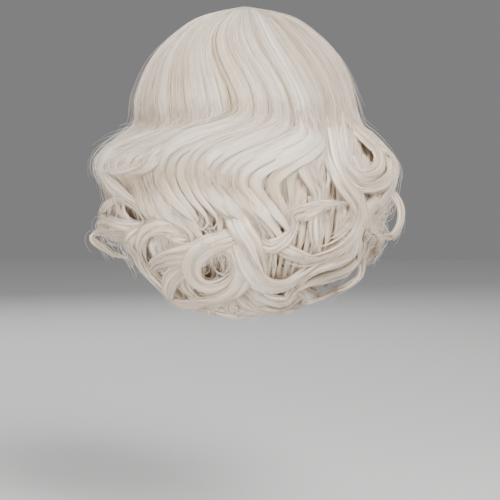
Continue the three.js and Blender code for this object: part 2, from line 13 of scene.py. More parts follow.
import bpy
import numpy as np
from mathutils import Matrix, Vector


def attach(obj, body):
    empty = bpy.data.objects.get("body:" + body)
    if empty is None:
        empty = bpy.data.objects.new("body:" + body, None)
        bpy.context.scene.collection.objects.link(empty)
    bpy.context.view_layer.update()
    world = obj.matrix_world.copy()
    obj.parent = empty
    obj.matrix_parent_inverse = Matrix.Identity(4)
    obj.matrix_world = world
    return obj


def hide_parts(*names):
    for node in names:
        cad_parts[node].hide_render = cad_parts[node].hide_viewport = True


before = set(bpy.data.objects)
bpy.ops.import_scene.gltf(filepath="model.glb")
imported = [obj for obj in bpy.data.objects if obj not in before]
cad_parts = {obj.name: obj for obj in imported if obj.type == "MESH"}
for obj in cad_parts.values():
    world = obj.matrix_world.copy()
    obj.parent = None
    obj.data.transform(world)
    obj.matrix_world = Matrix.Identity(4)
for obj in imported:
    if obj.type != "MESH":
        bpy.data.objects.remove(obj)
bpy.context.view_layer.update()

log = logging.getLogger("curly_wig")

MM = 0.001


class Facing(enum.Enum):
    """How a listed lock curls: laid on the head of hair, or rolled outwards and under."""

    LAID = "laid"
    ROLLED = "rolled"


@dataclass(frozen=True)
class HeadForm:
    """The head that the cap fits and the outline of the hair round it.

    Level runs from -1 at the top of the hair to 0 at the widest level of the head and 1 at the
    lowest curl. Turn is in radians from the middle of the back, and grows towards -X.
    """

    width: float = 156 * MM
    length: float = 194 * MM
    dome: float = 95 * MM
    cap_wall: float = 1.6 * MM
    over_top: float = 12.4 * MM
    at_sides: float = 16 * MM
    at_back: float = 12 * MM
    at_front: float = 7 * MM
    hang: float = 171 * MM
    wave_swing: float = 31 * MM
    # Turn in degrees past which the front hair is swept back off the face, by which share of the
    # rest and between which levels
    open_face: float = 141.0
    sweep: float = 0.85
    sweep_levels: tuple[float, float] = (-0.55, -0.08)

    # Level, side and back. Side and back are shares of the reach at the widest level of the head.
    outline: tuple[tuple[float, float, float], ...] = (
        (-1, 0, 0),
        (-0.97, 0.25, 0.24),
        (-0.905, 0.475, 0.455),
        (-0.78, 0.67, 0.655),
        (-0.66, 0.803, 0.785),
        (-0.52, 0.905, 0.885),
        (-0.265, 1, 1),
        (-0.065, 1.055, 1.03),
        (0.04, 1.18, 1.06),
        (0.125, 1.3, 1.1),
        (0.215, 1.345, 1.14),
        (0.38, 1.33, 1.14),
        (0.525, 1.28, 1.105),
        (0.675, 1.05, 1),
        (0.805, 0.83, 0.865),
        (0.92, 0.61, 0.705),
    )
    # Turn in degrees, strength of the swell and its delay in levels
    swell_round: tuple[tuple[float, float, float], ...] = (
        (-180, 0.5, 0),
        (-110, 0.8, 0.08),
        (-90, 1.15, 0.11),
        (-55, 1.25, 0.11),
        (-35, 1.1, 0.05),
        (-18, 1, 0),
        (18, 1, 0),
        (30, 0.3, 0),
        (180, 0.3, 0),
    )
    # Levels between which the wave swings, apart from the two in round_head: start, return and end
    wave_start: float = -0.87
    wave_return: float = 0.45
    wave_end: float = 0.64
    # Swings back and back again at the last two, as shares of the swing to the left
    swing_return: float = 0.95
    swing_end: float = 0.4
    # Share of the fall to the left that is eased once, and not twice
    soft_fall: float = 0.4
    # Level past the leftmost point of the wave, and swell of the hair out of the outline there, as a
    # share of wave_swing
    swell: tuple[tuple[float, float], ...] = (
        (-0.9, 0),
        (-0.55, 0.05),
        (-0.36, -0.07),
        (-0.13, 0.15),
        (0.01, -0.16),
        (0.15, 0.07),
        (0.26, -0.05),
    )
    # Painted light on the crest and painted shade in the hollow under it, as changes of tone, and the
    # levels past the leftmost point between which each comes
    painted_wave_shading_rows: tuple[tuple[float, float, float], ...] = (
        (0.16, -0.3, -0.12),
        (-0.85, -0.1, 0.03),
        (0.66, 0.05, 0.2),
    )
    # Turn in degrees, swing to the wearer's right and its level, swing back to the left and its
    # level, and level of the crown's hem. Swings are shares of wave_swing.
    round_head: tuple[tuple[float, float, float, float, float, float], ...] = (
        (-180, 0.3, -0.26, 0.3, 0.15, 0.1),
        (-120, 0.5, -0.26, 0.5, 0.15, 0.16),
        (-90, 0.65, -0.12, 0.8, 0.16, 0.2),
        (-55, 0.8, -0.06, 1.15, 0.17, 0.34),
        (-35, 0.9, -0.1, 1.1, 0.17, 0.4),
        (-22, 1.05, -0.2, 1.15, 0.17, 0.37),
        (-14, 1.05, -0.19, 1.15, 0.175, 0.31),
        (-5, 1.05, -0.17, 1.15, 0.18, 0.31),
        (3, 1.05, -0.14, 1.12, 0.195, 0.38),
        (14, 0.95, -0.03, 0.98, 0.22, 0.39),
        (18, 0.9, 0.0, 0.6, 0.235, 0.3),
        (24, 0.8, -0.1, 0.1, 0.2, 0.16),
        (36, 0.6, -0.15, 0.1, 0.2, 0.14),
        (46, 0.5, -0.2, 0.1, 0.2, 0.0),
        (70, 0.4, -0.2, 0.15, 0.2, -0.03),
        (86, 0.35, -0.25, 0.2, 0.15, 0.1),
        (180, 0.3, -0.26, 0.3, 0.15, 0.1),
    )
    # Turn in degrees from the nape and drop of the cap's edge, as a share of dome
    cap_edge: tuple[tuple[float, float], ...] = (
        (0, 1.5),
        (35, 1.44),
        (60, 1.24),
        (78, 0.98),
        (96, 0.88),
        (108, 0.93),
        (117, 1.08),
        (128, 0.92),
        (142, 0.65),
        (162, 0.48),
        (180, 0.44),
    )

    def height(self, level: np.ndarray) -> np.ndarray:
        """Height of a level above the top of the head."""
        over = self.dome + self.cap_wall + self.over_top
        return -self.dome - np.where(level < 0, level * over, level * self.hang)

    def _rows(self) -> np.ndarray:
        """Outline table as an array with side and back in metres, for the back half."""
        rows = np.array(self.outline, float)
        rows[:, 1] *= self.width / 2 + self.cap_wall + self.at_sides
        rows[:, 2] *= self.length / 2 + self.cap_wall + self.at_back
        return rows

    def spline(self, along: np.ndarray) -> np.ndarray:
        """Level, side and back at a place along the outline.

        Args:
            along: Place from 0 at the top to 1 at the last row of the table.

        Returns:
            Array of level, side and back with one row for each place.
        """
        return catmull_rom(self._rows(), np.clip(np.asarray(along, float), 0, 1) * (len(self.outline) - 1))

    def along_at(self, level: np.ndarray) -> np.ndarray:
        """Place along the outline at which a level is reached."""
        places = np.linspace(0, 1, 2001)
        return np.interp(level, self.spline(places)[:, 0], places)

    def point(self, turn: np.ndarray, along: np.ndarray) -> np.ndarray:
        """Points on the outline of the hair."""
        row = self.spline(along)
        inner = self.length / 2 + self.cap_wall
        front = (inner + self.at_front) / (inner + self.at_back)
        side = np.maximum(row[..., 1], 1e-6)
        back = np.maximum(row[..., 2], 1e-6) * np.where(np.cos(turn) > 0, 1.0, front)
        radius = side * back / np.hypot(back * np.sin(turn), side * np.cos(turn))
        return np.stack([-radius * np.sin(turn), radius * np.cos(turn), self.height(row[..., 0])], -1)

    def at(
        self, turn: np.ndarray, along: np.ndarray
    ) -> tuple[np.ndarray, np.ndarray, np.ndarray, np.ndarray]:
        """Point, outward direction and local scales of the outline.

        Args:
            turn: Turns in radians.
            along: Places along the outline.

        Returns:
            Points, unit normals, metres per radian of turn and metres per unit of along.
        """
        nudge = 1e-3
        along = np.clip(along, nudge, 1 - nudge)
        per_turn = (self.point(turn + nudge, along) - self.point(turn - nudge, along)) / (2 * nudge)
        per_along = (self.point(turn, along + nudge) - self.point(turn, along - nudge)) / (2 * nudge)
        out = unit(np.cross(per_along, per_turn))
        scales = (np.linalg.norm(step, axis=-1) for step in (per_turn, per_along))
        return self.point(turn, along), out, *scales

    def onto_head(self, points: np.ndarray, allowance: float, exact: bool = False) -> np.ndarray:
        """Points pushed out onto the head grown by an allowance, where they lie inside it.

        Args:
            points: The points.
            allowance: How much larger than the head the form is.
            exact: Whether points outside the form are drawn in to it too.

        Returns:
            The points in their new places.
        """
        offset = points + np.array([0, 0, self.dome])
        axes = np.array([self.width / 2, self.length / 2, self.dome]) + allowance
        size = np.linalg.norm(offset / axes, axis=-1, keepdims=True)
        return offset / (size if exact else np.minimum(size, 1.0)) - np.array([0, 0, self.dome])

    def strand_turn(
        self, start: np.ndarray, level: np.ndarray, radius: np.ndarray, swing: np.ndarray
    ) -> np.ndarray:
        """Turn of crown strands where they pass a level.

        Args:
            start: Turn at the top, in degrees.
            level: Level passed.
            radius: Distance from the upright axis there.
            swing: Personal strength of each strand's wave, about 1.

        Returns:
            Turns in radians.
        """
        over = np.maximum(np.abs(start) - self.open_face, 0)
        swept = over * self.sweep * smooth_step(level, *self.sweep_levels)
        right, right_level, left, left_level, _ = self.around_head(start)
        wave = right * smooth_step(level, self.wave_start, right_level)
        fall = smooth_step(level, right_level, left_level)
        wave -= (right + left) * (self.soft_fall * fall + (1 - self.soft_fall) * smooth_step(fall, 0, 1))
        wave += self.swing_return * left * smooth_step(level, left_level, self.wave_return)
        wave -= self.swing_end * left * smooth_step(level, self.wave_return, self.wave_end)
        turn = np.radians(start - np.sign(start) * swept)
        return turn + self.wave_swing * swing * wave / np.maximum(radius, self.wave_swing)

    @property
    def at_widest(self) -> float:
        """Half width of the hair at the widest level of the head."""
        return self.width / 2 + self.cap_wall + self.at_sides

    def relief(self, start: np.ndarray, level: np.ndarray) -> np.ndarray:
        """Swell of the waved hair out of the outline, for crown strands at a level."""
        amount, delay = self.relief_at(start)
        _, _, _, left_level, _ = self.around_head(start)
        return self.wave_swing * amount * eased(self.swell, level - left_level - delay)

    def relief_at(self, start: np.ndarray) -> list[np.ndarray]:
        """Strength and delay of the swell at a turn in degrees."""
        table = np.array(self.swell_round)
        return [np.interp(start, table[:, 0], table[:, k]) for k in (1, 2)]

    def painted_wave_shading(self, start: np.ndarray, level: np.ndarray) -> np.ndarray:
        """Painted light on the crest and painted shade in the hollow under it, for crown strands at a level.
        """
        amount, delay = self.relief_at(start)
        _, _, _, left_level, _ = self.around_head(start)
        past = level - left_level - delay
        return amount * sum(tone * smooth_step(past, low, high) for tone, low, high in self.painted_wave_shading_rows)

    def around_head(self, start: np.ndarray) -> list[np.ndarray]:
        """Columns of round_head at a turn in degrees."""
        table = np.array(self.round_head)
        return [np.interp(start, table[:, 0], table[:, k]) for k in range(1, table.shape[1])]

    def hem(self, start: np.ndarray) -> np.ndarray:
        """Level at which the crown's hair ends, for a turn in degrees."""
        return self.around_head(start)[-1]

    def edge_polar(self, turn: np.ndarray) -> np.ndarray:
        """Polar angle of the cap's lower edge at a turn in radians."""
        wrapped = np.abs((np.degrees(turn) + 180) % 360 - 180)
        return np.arccos(1 - eased(self.cap_edge, wrapped))


def unit(vectors: np.ndarray) -> np.ndarray:
    """Vectors scaled to length 1."""
    return vectors / (np.linalg.norm(vectors, axis=-1, keepdims=True) + 1e-12)


def smooth_step(value: np.ndarray, low: np.ndarray, high: np.ndarray) -> np.ndarray:
    """Smooth ramp from 0 at low to 1 at high."""
    share = np.clip((np.asarray(value, float) - low) / (high - low), 0, 1)
    return share * share * (3 - 2 * share)


def eased(rows: tuple[tuple[float, float], ...], value: np.ndarray) -> np.ndarray:
    """Second column of a table, eased from row to row of its first."""
    table = np.array(rows, float)
    value = np.clip(np.asarray(value, float), table[0, 0], table[-1, 0])
    after = np.clip(np.searchsorted(table[:, 0], value), 1, len(table) - 1)
    share = smooth_step((value - table[after - 1, 0]) / (table[after, 0] - table[after - 1, 0]), 0, 1)
    return table[after - 1, 1] * (1 - share) + table[after, 1] * share


def catmull_rom(rows: np.ndarray, place: np.ndarray) -> np.ndarray:
    """Smooth curve through rows, at places counted in rows from the first."""
    padded = np.vstack([2 * rows[0] - rows[1], rows, 2 * rows[-1] - rows[-2]])
    first = np.minimum(place.astype(int), len(rows) - 2)
    f = (place - first)[..., None]
    a, b, c, d = (padded[first + k] for k in range(4))
    square, cube = 2 * a - 5 * b + 4 * c - d, 3 * b - a - 3 * c + d
    return 0.5 * (2 * b + (c - a) * f + square * f**2 + cube * f**3)


def run_of(points: np.ndarray) -> np.ndarray:
    """Distance from the first of a line's points to each, along the line."""
    return np.concatenate([[0], np.cumsum(np.linalg.norm(np.diff(points, axis=0), axis=1))])


def sample(at: np.ndarray, places: np.ndarray, rows: np.ndarray) -> np.ndarray:
    """Rows that stand at rising places, read at other places between them."""
    return np.stack([np.interp(at, places, rows[:, k]) for k in range(rows.shape[1])], -1)


def resample(values: np.ndarray, stations: int) -> np.ndarray:
    """Rows of an array spread evenly over a number of stations."""
    places = np.linspace(0, len(values) - 1, stations)
    low = np.minimum(places.astype(int), len(values) - 2)
    share = (places - low)[:, None]
    return values[low] * (1 - share) + values[low + 1] * share


@dataclass
class LockPath:
    """Middle line of a lock, with its outward and sideways directions at each station."""

    middle: np.ndarray
    out: np.ndarray
    across: np.ndarray

    @property
    def length(self) -> float:
        """Length of the middle line."""
        return float(run_of(self.middle)[-1])

    @staticmethod
    def through(points: np.ndarray, normals: np.ndarray, stations: int, rolled: bool = False) -> "LockPath":
        """Path through points.

        Args:
            points: Points of the middle line, about evenly spaced.
            normals: Outward directions there.
            stations: Number of stations of the path.
            rolled: Whether the line is wide along the level direction, as a roll is.

        Returns:
            The path with its own frames.
        """
        middle = resample(points, stations)
        tangent = unit(np.gradient(middle, axis=0))
        across = unit(np.cross(tangent, resample(normals, stations)))
        if rolled:
            level = unit(np.stack([-middle[:, 1], middle[:, 0], 0 * middle[:, 0]], -1))
            change = smooth_step(np.linspace(0, 1, stations), -0.2, 0.05)[:, None]
            across = across * (1 - change) + level * change
            across = unit(across - tangent * (across * tangent).sum(-1, keepdims=True))
        return LockPath(middle, np.cross(across, tangent), across)

    def beside(self, aside: float, lift: float, gather: float, sway: np.ndarray, end: float) -> "LockPath":
        """Path that runs beside this one.

        Args:
            aside: Distance to the side at the root.
            lift: Distance outwards.
            gather: Share of the distance that is left at the tip.
            sway: Sideways and outward reach, cycles and phase of a slow sway, as 2 by 3.
            end: Share of this path at which the new one stops.

        Returns:
            The new path, with the same directions.
        """
        stations = len(self.middle)
        share = np.linspace(0, 1, stations)[:, None]
        place = np.linspace(0, end * (stations - 1), stations)
        here = np.arange(stations)
        away = aside * (1 - (1 - gather) * share**1.5)
        reach, cycles, phase = sway.T
        swing = np.sin(2 * np.pi * cycles * share + phase) * reach
        middle, across, out = (sample(place, here, rows) for rows in (self.middle, self.across, self.out))
        middle = middle + across * (away + swing[:, :1]) + out * (lift + swing[:, 1:])
        return LockPath(middle, out, across)


@dataclass
class Walk:
    """A walk over the outline of the hair, one short step after another."""

    head: HeadForm
    turn: float
    along: float
    aim: float
    rolled: bool = False
    drift: float = 0.0
    raised: float = 0.0
    step: float = 3.5 * MM
    points: list[np.ndarray] = field(default_factory=list)
    outs: list[np.ndarray] = field(default_factory=list)

    def run(self, arcs: tuple[tuple[float, float], ...], low: float, high: float, settle: float) -> None:
        """Walks through arcs and keeps the points passed.

        Args:
            arcs: Length, as a share of the hang, and bend in degrees of each arc.
            low: Height over the outline at the start.
            high: Height over the outline once the walk has settled.
            settle: Share of the walk after which it has.
        """
        total = sum(length for length, _ in arcs)
        done = 0.0
        for length, bend in arcs:
            run = length * self.head.hang
            count = max(round(run / self.step), 2)
            part = run / count
            for _ in range(count):
                point, out, per_turn, per_along = self.head.at(np.array(self.turn), np.array(self.along))
                settled = float(smooth_step(done / total, 0, settle))
                height = self.raised + low + (high - low) * settled
                self.points.append(point + out * height)
                self.outs.append(out)
                self.aim += math.radians(bend) / count / 2
                sideways = math.tan(math.radians(self.drift)) if self.rolled else math.sin(self.aim)
                self.turn += part * sideways / max(float(per_turn), self.head.width / 4)
                self.along = min(self.along + part * math.cos(self.aim) / float(per_along), 0.999)
                self.raised += part * math.sin(self.aim) if self.rolled else 0.0
                self.aim += math.radians(bend) / count / 2
                done += length / count


@dataclass(frozen=True)
class LockRow:
    """One lock of a section: where it starts, and the arcs that it runs through.

    Turn, heading, bends and drift are in degrees and arc lengths in shares of the hang. Width, lift
    and root are in millimetres, and lift and root are from the outline to the lock's middle, once
    it has settled and where it starts.
    """

    turn: float
    level: float
    heading: float
    arcs: tuple[tuple[float, float], ...]
    width: float = 16.0
    lift: float = -3.5
    root: float = -9.0
    facing: Facing = Facing.LAID
    drift: float = 0.0
    settle: float = 0.35

    def path(self, head: HeadForm, stations: int) -> LockPath:
        """The lock's middle line, walked over the outline."""
        rolled = self.facing is Facing.ROLLED
        along = float(head.along_at(self.level))
        walk = Walk(head, math.radians(self.turn), along, math.radians(self.heading), rolled, self.drift)
        walk.run(self.arcs, self.root * MM, self.lift * MM, self.settle)
        return LockPath.through(np.array(walk.points), np.array(walk.outs), stations, rolled)


@dataclass(frozen=True)
class Route:
    """One lock given by the places that it passes, as seen from behind.

    Places are millimetres to the right of the middle and below the top of the head, seen from
    watch_distance behind. Lift is in millimetres from the outline to the lock's middle, at the
    root, in the middle and at the tip.
    """

    places: tuple[tuple[float, float], ...]
    width: float = 14.0
    lifts: tuple[float, float, float] = (-9.0, -2.5, -3.5)

    watch_distance = 1.7
    watch_rise = math.radians(2)
    watch_level = -126 * MM
    lift_places = (0, 0.3, 1)
    proud = 1.2
    fullness = 1.3
    outermost = 0.985
    samples = 60
    first_depth = 0.1
    rounds = 5

    def path(self, head: HeadForm, stations: int) -> LockPath:
        """The lock's middle line, a smooth curve through its places."""
        places = smooth_curve(np.array(self.places, float) * MM, self.samples)
        right, down = places[:, 0], places[:, 1]
        up = -down - self.watch_level
        rise, over = self.watch_rise, head.dome + head.cap_wall + head.over_top
        depth = np.full(len(right), self.first_depth)
        for _ in range(self.rounds):
            near = 1 - depth * math.cos(rise) / self.watch_distance
            height = self.watch_level + (up * near + depth * math.sin(rise)) / math.cos(rise)
            under = -height - head.dome
            level = np.where(under < 0, under / over, under / head.hang)
            along = head.along_at(level)
            row = head.spline(along)
            share = np.clip(right * near / row[:, 1], -self.outermost, self.outermost)
            depth = row[:, 2] * np.sqrt(1 - share**2)
        turn = np.arctan2(row[:, 1] * share, depth)
        point, out, _, _ = head.at(turn, along)
        beyond = right * near - row[:, 1] * share
        point[:, 0] -= beyond
        lift = (np.interp(np.linspace(0, 1, len(turn)), self.lift_places, self.lifts) + self.proud) * MM
        return LockPath.through(point + out * lift[:, None], out, stations)


def smooth_curve(rows: np.ndarray, count: int, samples: int = 30) -> np.ndarray:
    """Catmull-Rom curve through rows, at evenly spaced places along its length."""
    curve = catmull_rom(rows, np.linspace(0, len(rows) - 1, samples * len(rows)))
    run = run_of(curve)
    return sample(np.linspace(0, run[-1], count), run, curve)


@dataclass
class MeshParts:
    """Vertices, faces, UVs and tones that are gathered into one mesh."""

    points: list[np.ndarray] = field(default_factory=list)
    faces: list[np.ndarray] = field(default_factory=list)
    uvs: list[np.ndarray] = field(default_factory=list)
    tones: list[np.ndarray] = field(default_factory=list)
    count: int = 0

    def add_tubes(self, rings: np.ndarray, uv: np.ndarray, tone: np.ndarray) -> None:
        """Adds closed tubes that all have the same number of stations and sides.

        Args:
            rings: Points, as tubes by stations by sides by 3.
            uv: UV of each station and side seam, as tubes by stations by sides + 1 by 2.
            tone: Tone of each station, as tubes by stations.
        """
        tubes, stations, sides, _ = rings.shape
        base = self.count + np.arange(tubes)[:, None, None] * stations * sides
        station = np.arange(stations - 1)[None, :, None] * sides
        side = np.arange(sides)[None, None, :]
        after = (side + 1) % sides
        low, high = base + station, base + station + sides
        quads = np.stack([low + side, low + after, high + after, high + side], -1)
        corners = ((0, 0), (0, 1), (1, 1), (1, 0))
        quad_uv = np.stack([uv[:, k : stations - 1 + k, j : sides + j] for k, j in corners], -2)
        self.points.append(rings.reshape(-1, 3))
        self.faces.append(quads.reshape(-1, 4))
        self.uvs.append(quad_uv.reshape(-1, 2))
        self.tones.append(np.repeat(tone.ravel(), sides))
        for place, flip in ((0, True), (stations - 1, False)):
            ring = (base[:, 0] + place * sides) + np.arange(sides)[None, :]
            fan = np.stack([ring[:, [0] * (sides - 2)], ring[:, 1:-1], ring[:, 2:]], -1).reshape(-1, 3)
            ends = np.repeat(uv[:, place, 0], (sides - 2), axis=0)
            self.faces.append(fan[:, ::-1] if flip else fan)
            self.uvs.append(np.repeat(ends, 3, axis=0))
        self.count += tubes * stations * sides

    def triangles(self) -> int:
        """Number of triangles that the faces make."""
        return sum(len(f) * (f.shape[1] - 2) for f in self.faces)

    def build(self, name: str) -> bpy.types.Object:
        """Makes the mesh object.

        Args:
            name: Name of the piece.

        Returns:
            The new object, at the origin and with smooth faces.
        """
        points = np.concatenate(self.points).astype(np.float32)
        sizes = np.concatenate([np.full(len(f), f.shape[1], np.int32) for f in self.faces])
        corners = np.concatenate([f.ravel() for f in self.faces]).astype(np.int32)
        mesh = bpy.data.meshes.new(name)
        mesh.vertices.add(len(points))
        mesh.vertices.foreach_set("co", points.ravel())
        mesh.loops.add(len(corners))
        mesh.loops.foreach_set("vertex_index", corners)
        mesh.polygons.add(len(sizes))
        starts = np.concatenate([[0], np.cumsum(sizes)[:-1]]).astype(np.int32)
        mesh.polygons.foreach_set("loop_start", starts)
        mesh.polygons.foreach_set("use_smooth", np.ones(len(sizes), bool))
        layer = mesh.uv_layers.new(name="strand")
        layer.data.foreach_set("uv", np.concatenate(self.uvs).astype(np.float32).ravel())
        tone = mesh.attributes.new("tone", "FLOAT", "POINT")
        tone.data.foreach_set("value", np.concatenate(self.tones).astype(np.float32))
        mesh.update(calc_edges=True)
        mesh.validate()
        piece = bpy.data.objects.new(name, mesh)
        bpy.context.scene.collection.objects.link(piece)
        return piece


@dataclass
class Lock:
    """A lock of hair: a soft tapered body with loose strands over it."""

    path: LockPath
    width: float
    depth: float
    tone: float
    strands: int
    tip: float = 0.12
    blunt_root: float = 0.3
    tapers: float = 0.45
    fill: np.ndarray | None = None
    shade: np.ndarray | None = None

    widens_over = 0.25
    thins_to = 1.02
    flattens = 0.7
    ridges = (-0.13, 0.09)

    def tone_rows(self) -> np.ndarray:
        """Tone along the lock, as rows of one value."""
        return np.full((2, 1), self.tone) if self.shade is None else (self.tone + self.shade)[:, None]

    def half_sizes(self, share: np.ndarray) -> tuple[np.ndarray, np.ndarray]:
        """Half width and half depth at shares of the length."""
        if self.fill is not None:
            spread = np.interp(share, np.linspace(0, 1, len(self.fill)), self.fill)
        else:
            spread = self.blunt_root + (1 - self.blunt_root) * smooth_step(share, 0, self.widens_over)
        taper = 1 - (1 - self.tip) * smooth_step(share, self.tapers, self.thins_to)
        half_depth = self.depth / 2 * np.sqrt(spread / spread.max()) * taper**self.flattens
        return self.width / 2 * spread * taper, half_depth

    def add_body(self, parts: MeshParts, rng: np.random.Generator, sides: int) -> None:
        """Adds the lock's body, with shallow ridges along it.

        Args:
            parts: Mesh that the body goes into.
            rng: Source of this section's random numbers.
            sides: Number of sides of the body.
        """
        stations = len(self.path.middle)
        share = np.linspace(0, 1, stations)
        half_width, half_depth = self.half_sizes(share)
        angle = 2 * np.pi * np.arange(sides) / sides
        ridge = 1 + rng.uniform(*self.ridges, sides)
        sideways = (np.cos(angle) * ridge)[None, :] * half_width[:, None]
        outwards = (np.sin(angle) * ridge)[None, :] * half_depth[:, None]
        rings = (
            self.path.middle[:, None]
            + self.path.across[:, None] * sideways[..., None]
            - self.path.out[:, None] * outwards[..., None]
        )
        girth = np.arange(sides + 1) / sides * 2 * (self.width + self.depth)
        run = share * self.path.length
        across, along = girth[None, :] + rng.uniform(0, 9), run[:, None] + rng.uniform(0, 9)
        uv = np.stack(np.broadcast_arrays(across, along), -1)
        parts.add_tubes(rings[None], uv[None], resample(self.tone_rows(), stations).T)

    def add_strands(self, parts: MeshParts, rng: np.random.Generator, look: "StrandLook") -> None:
        """Adds the lock's loose strands.

        Args:
            parts: Mesh that the strands go into.
            rng: Source of this section's random numbers.
            look: Sizes of the strands.
        """
        count = self.strands
        if count < 1:
            return
        share = np.linspace(0, 1, look.stations)
        middle = resample(self.path.middle, look.stations)
        across = unit(resample(self.path.across, look.stations))
        out = unit(resample(self.path.out, look.stations))
        half_width, half_depth = self.half_sizes(share)
        angle = rng.uniform(*look.around, count) * np.pi
        reach = rng.uniform(*look.reach, count)
        reach = reach + (rng.random(count) < look.stray_share) * rng.uniform(0, look.stray, count)
        phase = rng.uniform(0, 2 * np.pi, (2, count, 1))
        cycles = rng.uniform(*look.cycles, (2, count, 1))
        wander = np.sin(phase + 2 * np.pi * cycles * share) * look.wander
        loosen = 1 + look.loosens * smooth_step(share, look.loose_from, 1) * rng.uniform(0, 1, (count, 1))
        u = (np.cos(angle) * reach)[:, None] * loosen + wander[0]
        v = (np.sin(angle) * reach)[:, None] * loosen + wander[1] * look.flat
        start = rng.uniform(*look.starts, count)
        end = rng.uniform(*look.ends, count)
        place = start[:, None] + (end - start)[:, None] * share
        base, side, lift = (sample(place, share, rows) for rows in (middle, across, out))
        wide = np.interp(place, share, half_width) + look.loose
        deep = np.interp(place, share, half_depth) + look.loose
        line = base + side * (u * wide)[..., None] + lift * (v * deep)[..., None]
        tones = self.tone_rows()[:, 0]
        along = np.interp(place, np.linspace(0, 1, len(tones)), tones)
        add_threads(parts, line, look, rng, along + rng.normal(0, look.tone_spread, (count, 1)))


@dataclass(frozen=True)
class StrandLook:
    """Sizes of loose strands and how they lie round a lock. Pairs are the least and the most."""

    stations: int = 18
    radius: float = 0.22 * MM
    wander: float = 0.1
    loose: float = 0.5 * MM
    stray: float = 0.5
    stray_share: float = 0.08
    tone_spread: float = 0.16
    around: tuple[float, float] = (-0.2, 1.2)
    reach: tuple[float, float] = (0.86, 1.06)
    cycles: tuple[float, float] = (0.5, 2.2)
    starts: tuple[float, float] = (0, 0.05)
    ends: tuple[float, float] = (0.8, 1.0)
    loosens: float = 0.9
    loose_from: float = 0.6
    flat: float = 0.6
    radii: tuple[float, float] = (0.7, 1.3)
    thinned: float = 0.6
    thins_from: float = 0.7
    # The point below the origin that strands face away from, and the flattening of its sphere
    centre: float = 0.055
    squash: float = 0.6


def add_threads(
    parts: MeshParts,
    line: np.ndarray,
    look: StrandLook,
    rng: np.random.Generator,
    tone: np.ndarray,
) -> None:
    """Adds three-sided threads along lines.

    Args:
        parts: Mesh that the threads go into.
        line: Middle points, as threads by stations by 3.
        look: Sizes of the threads.
        rng: Source of random numbers.
        tone: Tone of each station, as threads by stations.
    """
    count, stations, _ = line.shape
    tangent = unit(np.gradient(line, axis=1))
    outward = line * np.array([1, 1, look.squash]) + np.array([0, 0, look.centre])
    first = unit(np.cross(tangent, outward))
    second = np.cross(tangent, first)
    share = np.linspace(0, 1, stations)
    thinned = 1 - look.thinned * smooth_step(share, look.thins_from, 1)
    radius = look.radius * rng.uniform(*look.radii, (count, 1)) * thinned
    angle = 2 * np.pi * np.arange(3) / 3 + np.pi / 2
    rings = line[:, :, None] + radius[..., None, None] * (
        first[:, :, None] * np.cos(angle)[:, None] + second[:, :, None] * np.sin(angle)[:, None]
    )
    run = np.cumsum(np.linalg.norm(np.diff(line, axis=1, prepend=line[:, :1]), axis=-1), axis=1)
    uv = np.zeros((count, stations, 4, 2))
    uv[..., 0] = rng.uniform(0, 30, count)[:, None, None] + np.arange(4) * 0.0004
    uv[..., 1] = run[..., None] + rng.uniform(0, 9, count)[:, None, None]
    parts.add_tubes(rings, uv, tone)


@dataclass(frozen=True)
class Tail:
    """How a crown lock ends: its arcs, as in LockRow, and its sink in millimetres."""

    arcs: tuple[tuple[float, float], ...]
    sink: float = 3.0


@dataclass(frozen=True)
class CrownPlan:
    """How many crown locks a section has, and the tails that its clumps choose from."""

    locks: int
    strands: int
    under_locks: int
    tails: tuple[Tail, ...]


@dataclass(frozen=True)
class ClumpLook:
    """How crown locks differ, clump by clump and lock by lock.

    Pairs are the least and the most, and single values spreads, except for arch, valley and slimmer.
    """

    sizes: tuple[int, int] = (2, 6)
    swing: float = 0.07
    lifts: tuple[float, float] = (-1.4, 1.1)
    extras: tuple[float, float] = (-0.05, 0.05)
    scales: tuple[float, float] = (0.85, 1.15)
    tone: float = 0.12
    arch: float = 2.4
    # Painted shade on the first lock of each clump, which lies lowest, between the clumps
    valley: float = 0.95
    slimmer: float = 0.25
    own_place: float = 0.12
    own_lengths: tuple[float, float] = (0.92, 1.08)
    own_bends: tuple[float, float] = (0.9, 1.12)
    own_sinks: tuple[float, float] = (0.4, 1.6)
    own_swing: float = 0.015
    own_lift: float = 0.3
    own_tone: float = 0.2
    own_widths: tuple[float, float] = (0.8, 1.35)
    shadowed: float = 0.3
    shadows: tuple[float, float] = (0.1, 0.6)


@dataclass(frozen=True)
class CurtainPlan:
    """Straight hair that hangs inside the outline, in layers.

    Inset, layer_gap, clearance and depth are in millimetres, and top, bottom, bottoms and
    leaves_over in levels. Widths and tones have one value for each layer; the tones are painted shade.
    """

    locks: int
    inset: float
    top: float
    bottom: float
    strands: int = 1
    aside: float = 0.4
    bottoms: tuple[float, float] = (-0.08, 0.06)
    lean: float = 0.07
    leaves_over: float = 0.24
    layer_gap: float = 5.0
    clearance: float = 4.0
    depth: float = 3.0
    widths: tuple[float, float] = (2.6, 3.0)
    # Painted shade of each layer, darker for the deeper one
    tones: tuple[float, float] = (-0.3, -0.5)
    tone_spread: float = 0.14


@dataclass(frozen=True)
class FillPlan:
    """Curls scattered between the listed ones. Levels and millimetres as in LockRow."""

    curls: int
    top: float
    bottom: float
    lift: float
    size: float = 1.0
    lean: float = 0.0
    stagger: float = 0.618
    headings: tuple[float, float] = (10, 60)
    sizes: tuple[float, float] = (0.95, 1.4)
    widths: tuple[float, float] = (13, 19)
    lifts: tuple[float, float] = (-3, 1)
    root: float = -7
    # Length as a share of the hang, and least and most bend in degrees
    arcs: tuple[tuple[float, float, float], ...] = (
        (0.12, -10, 25),
        (0.14, 60, 110),
        (0.12, 60, 120),
        (0.06, 20, 70),
    )


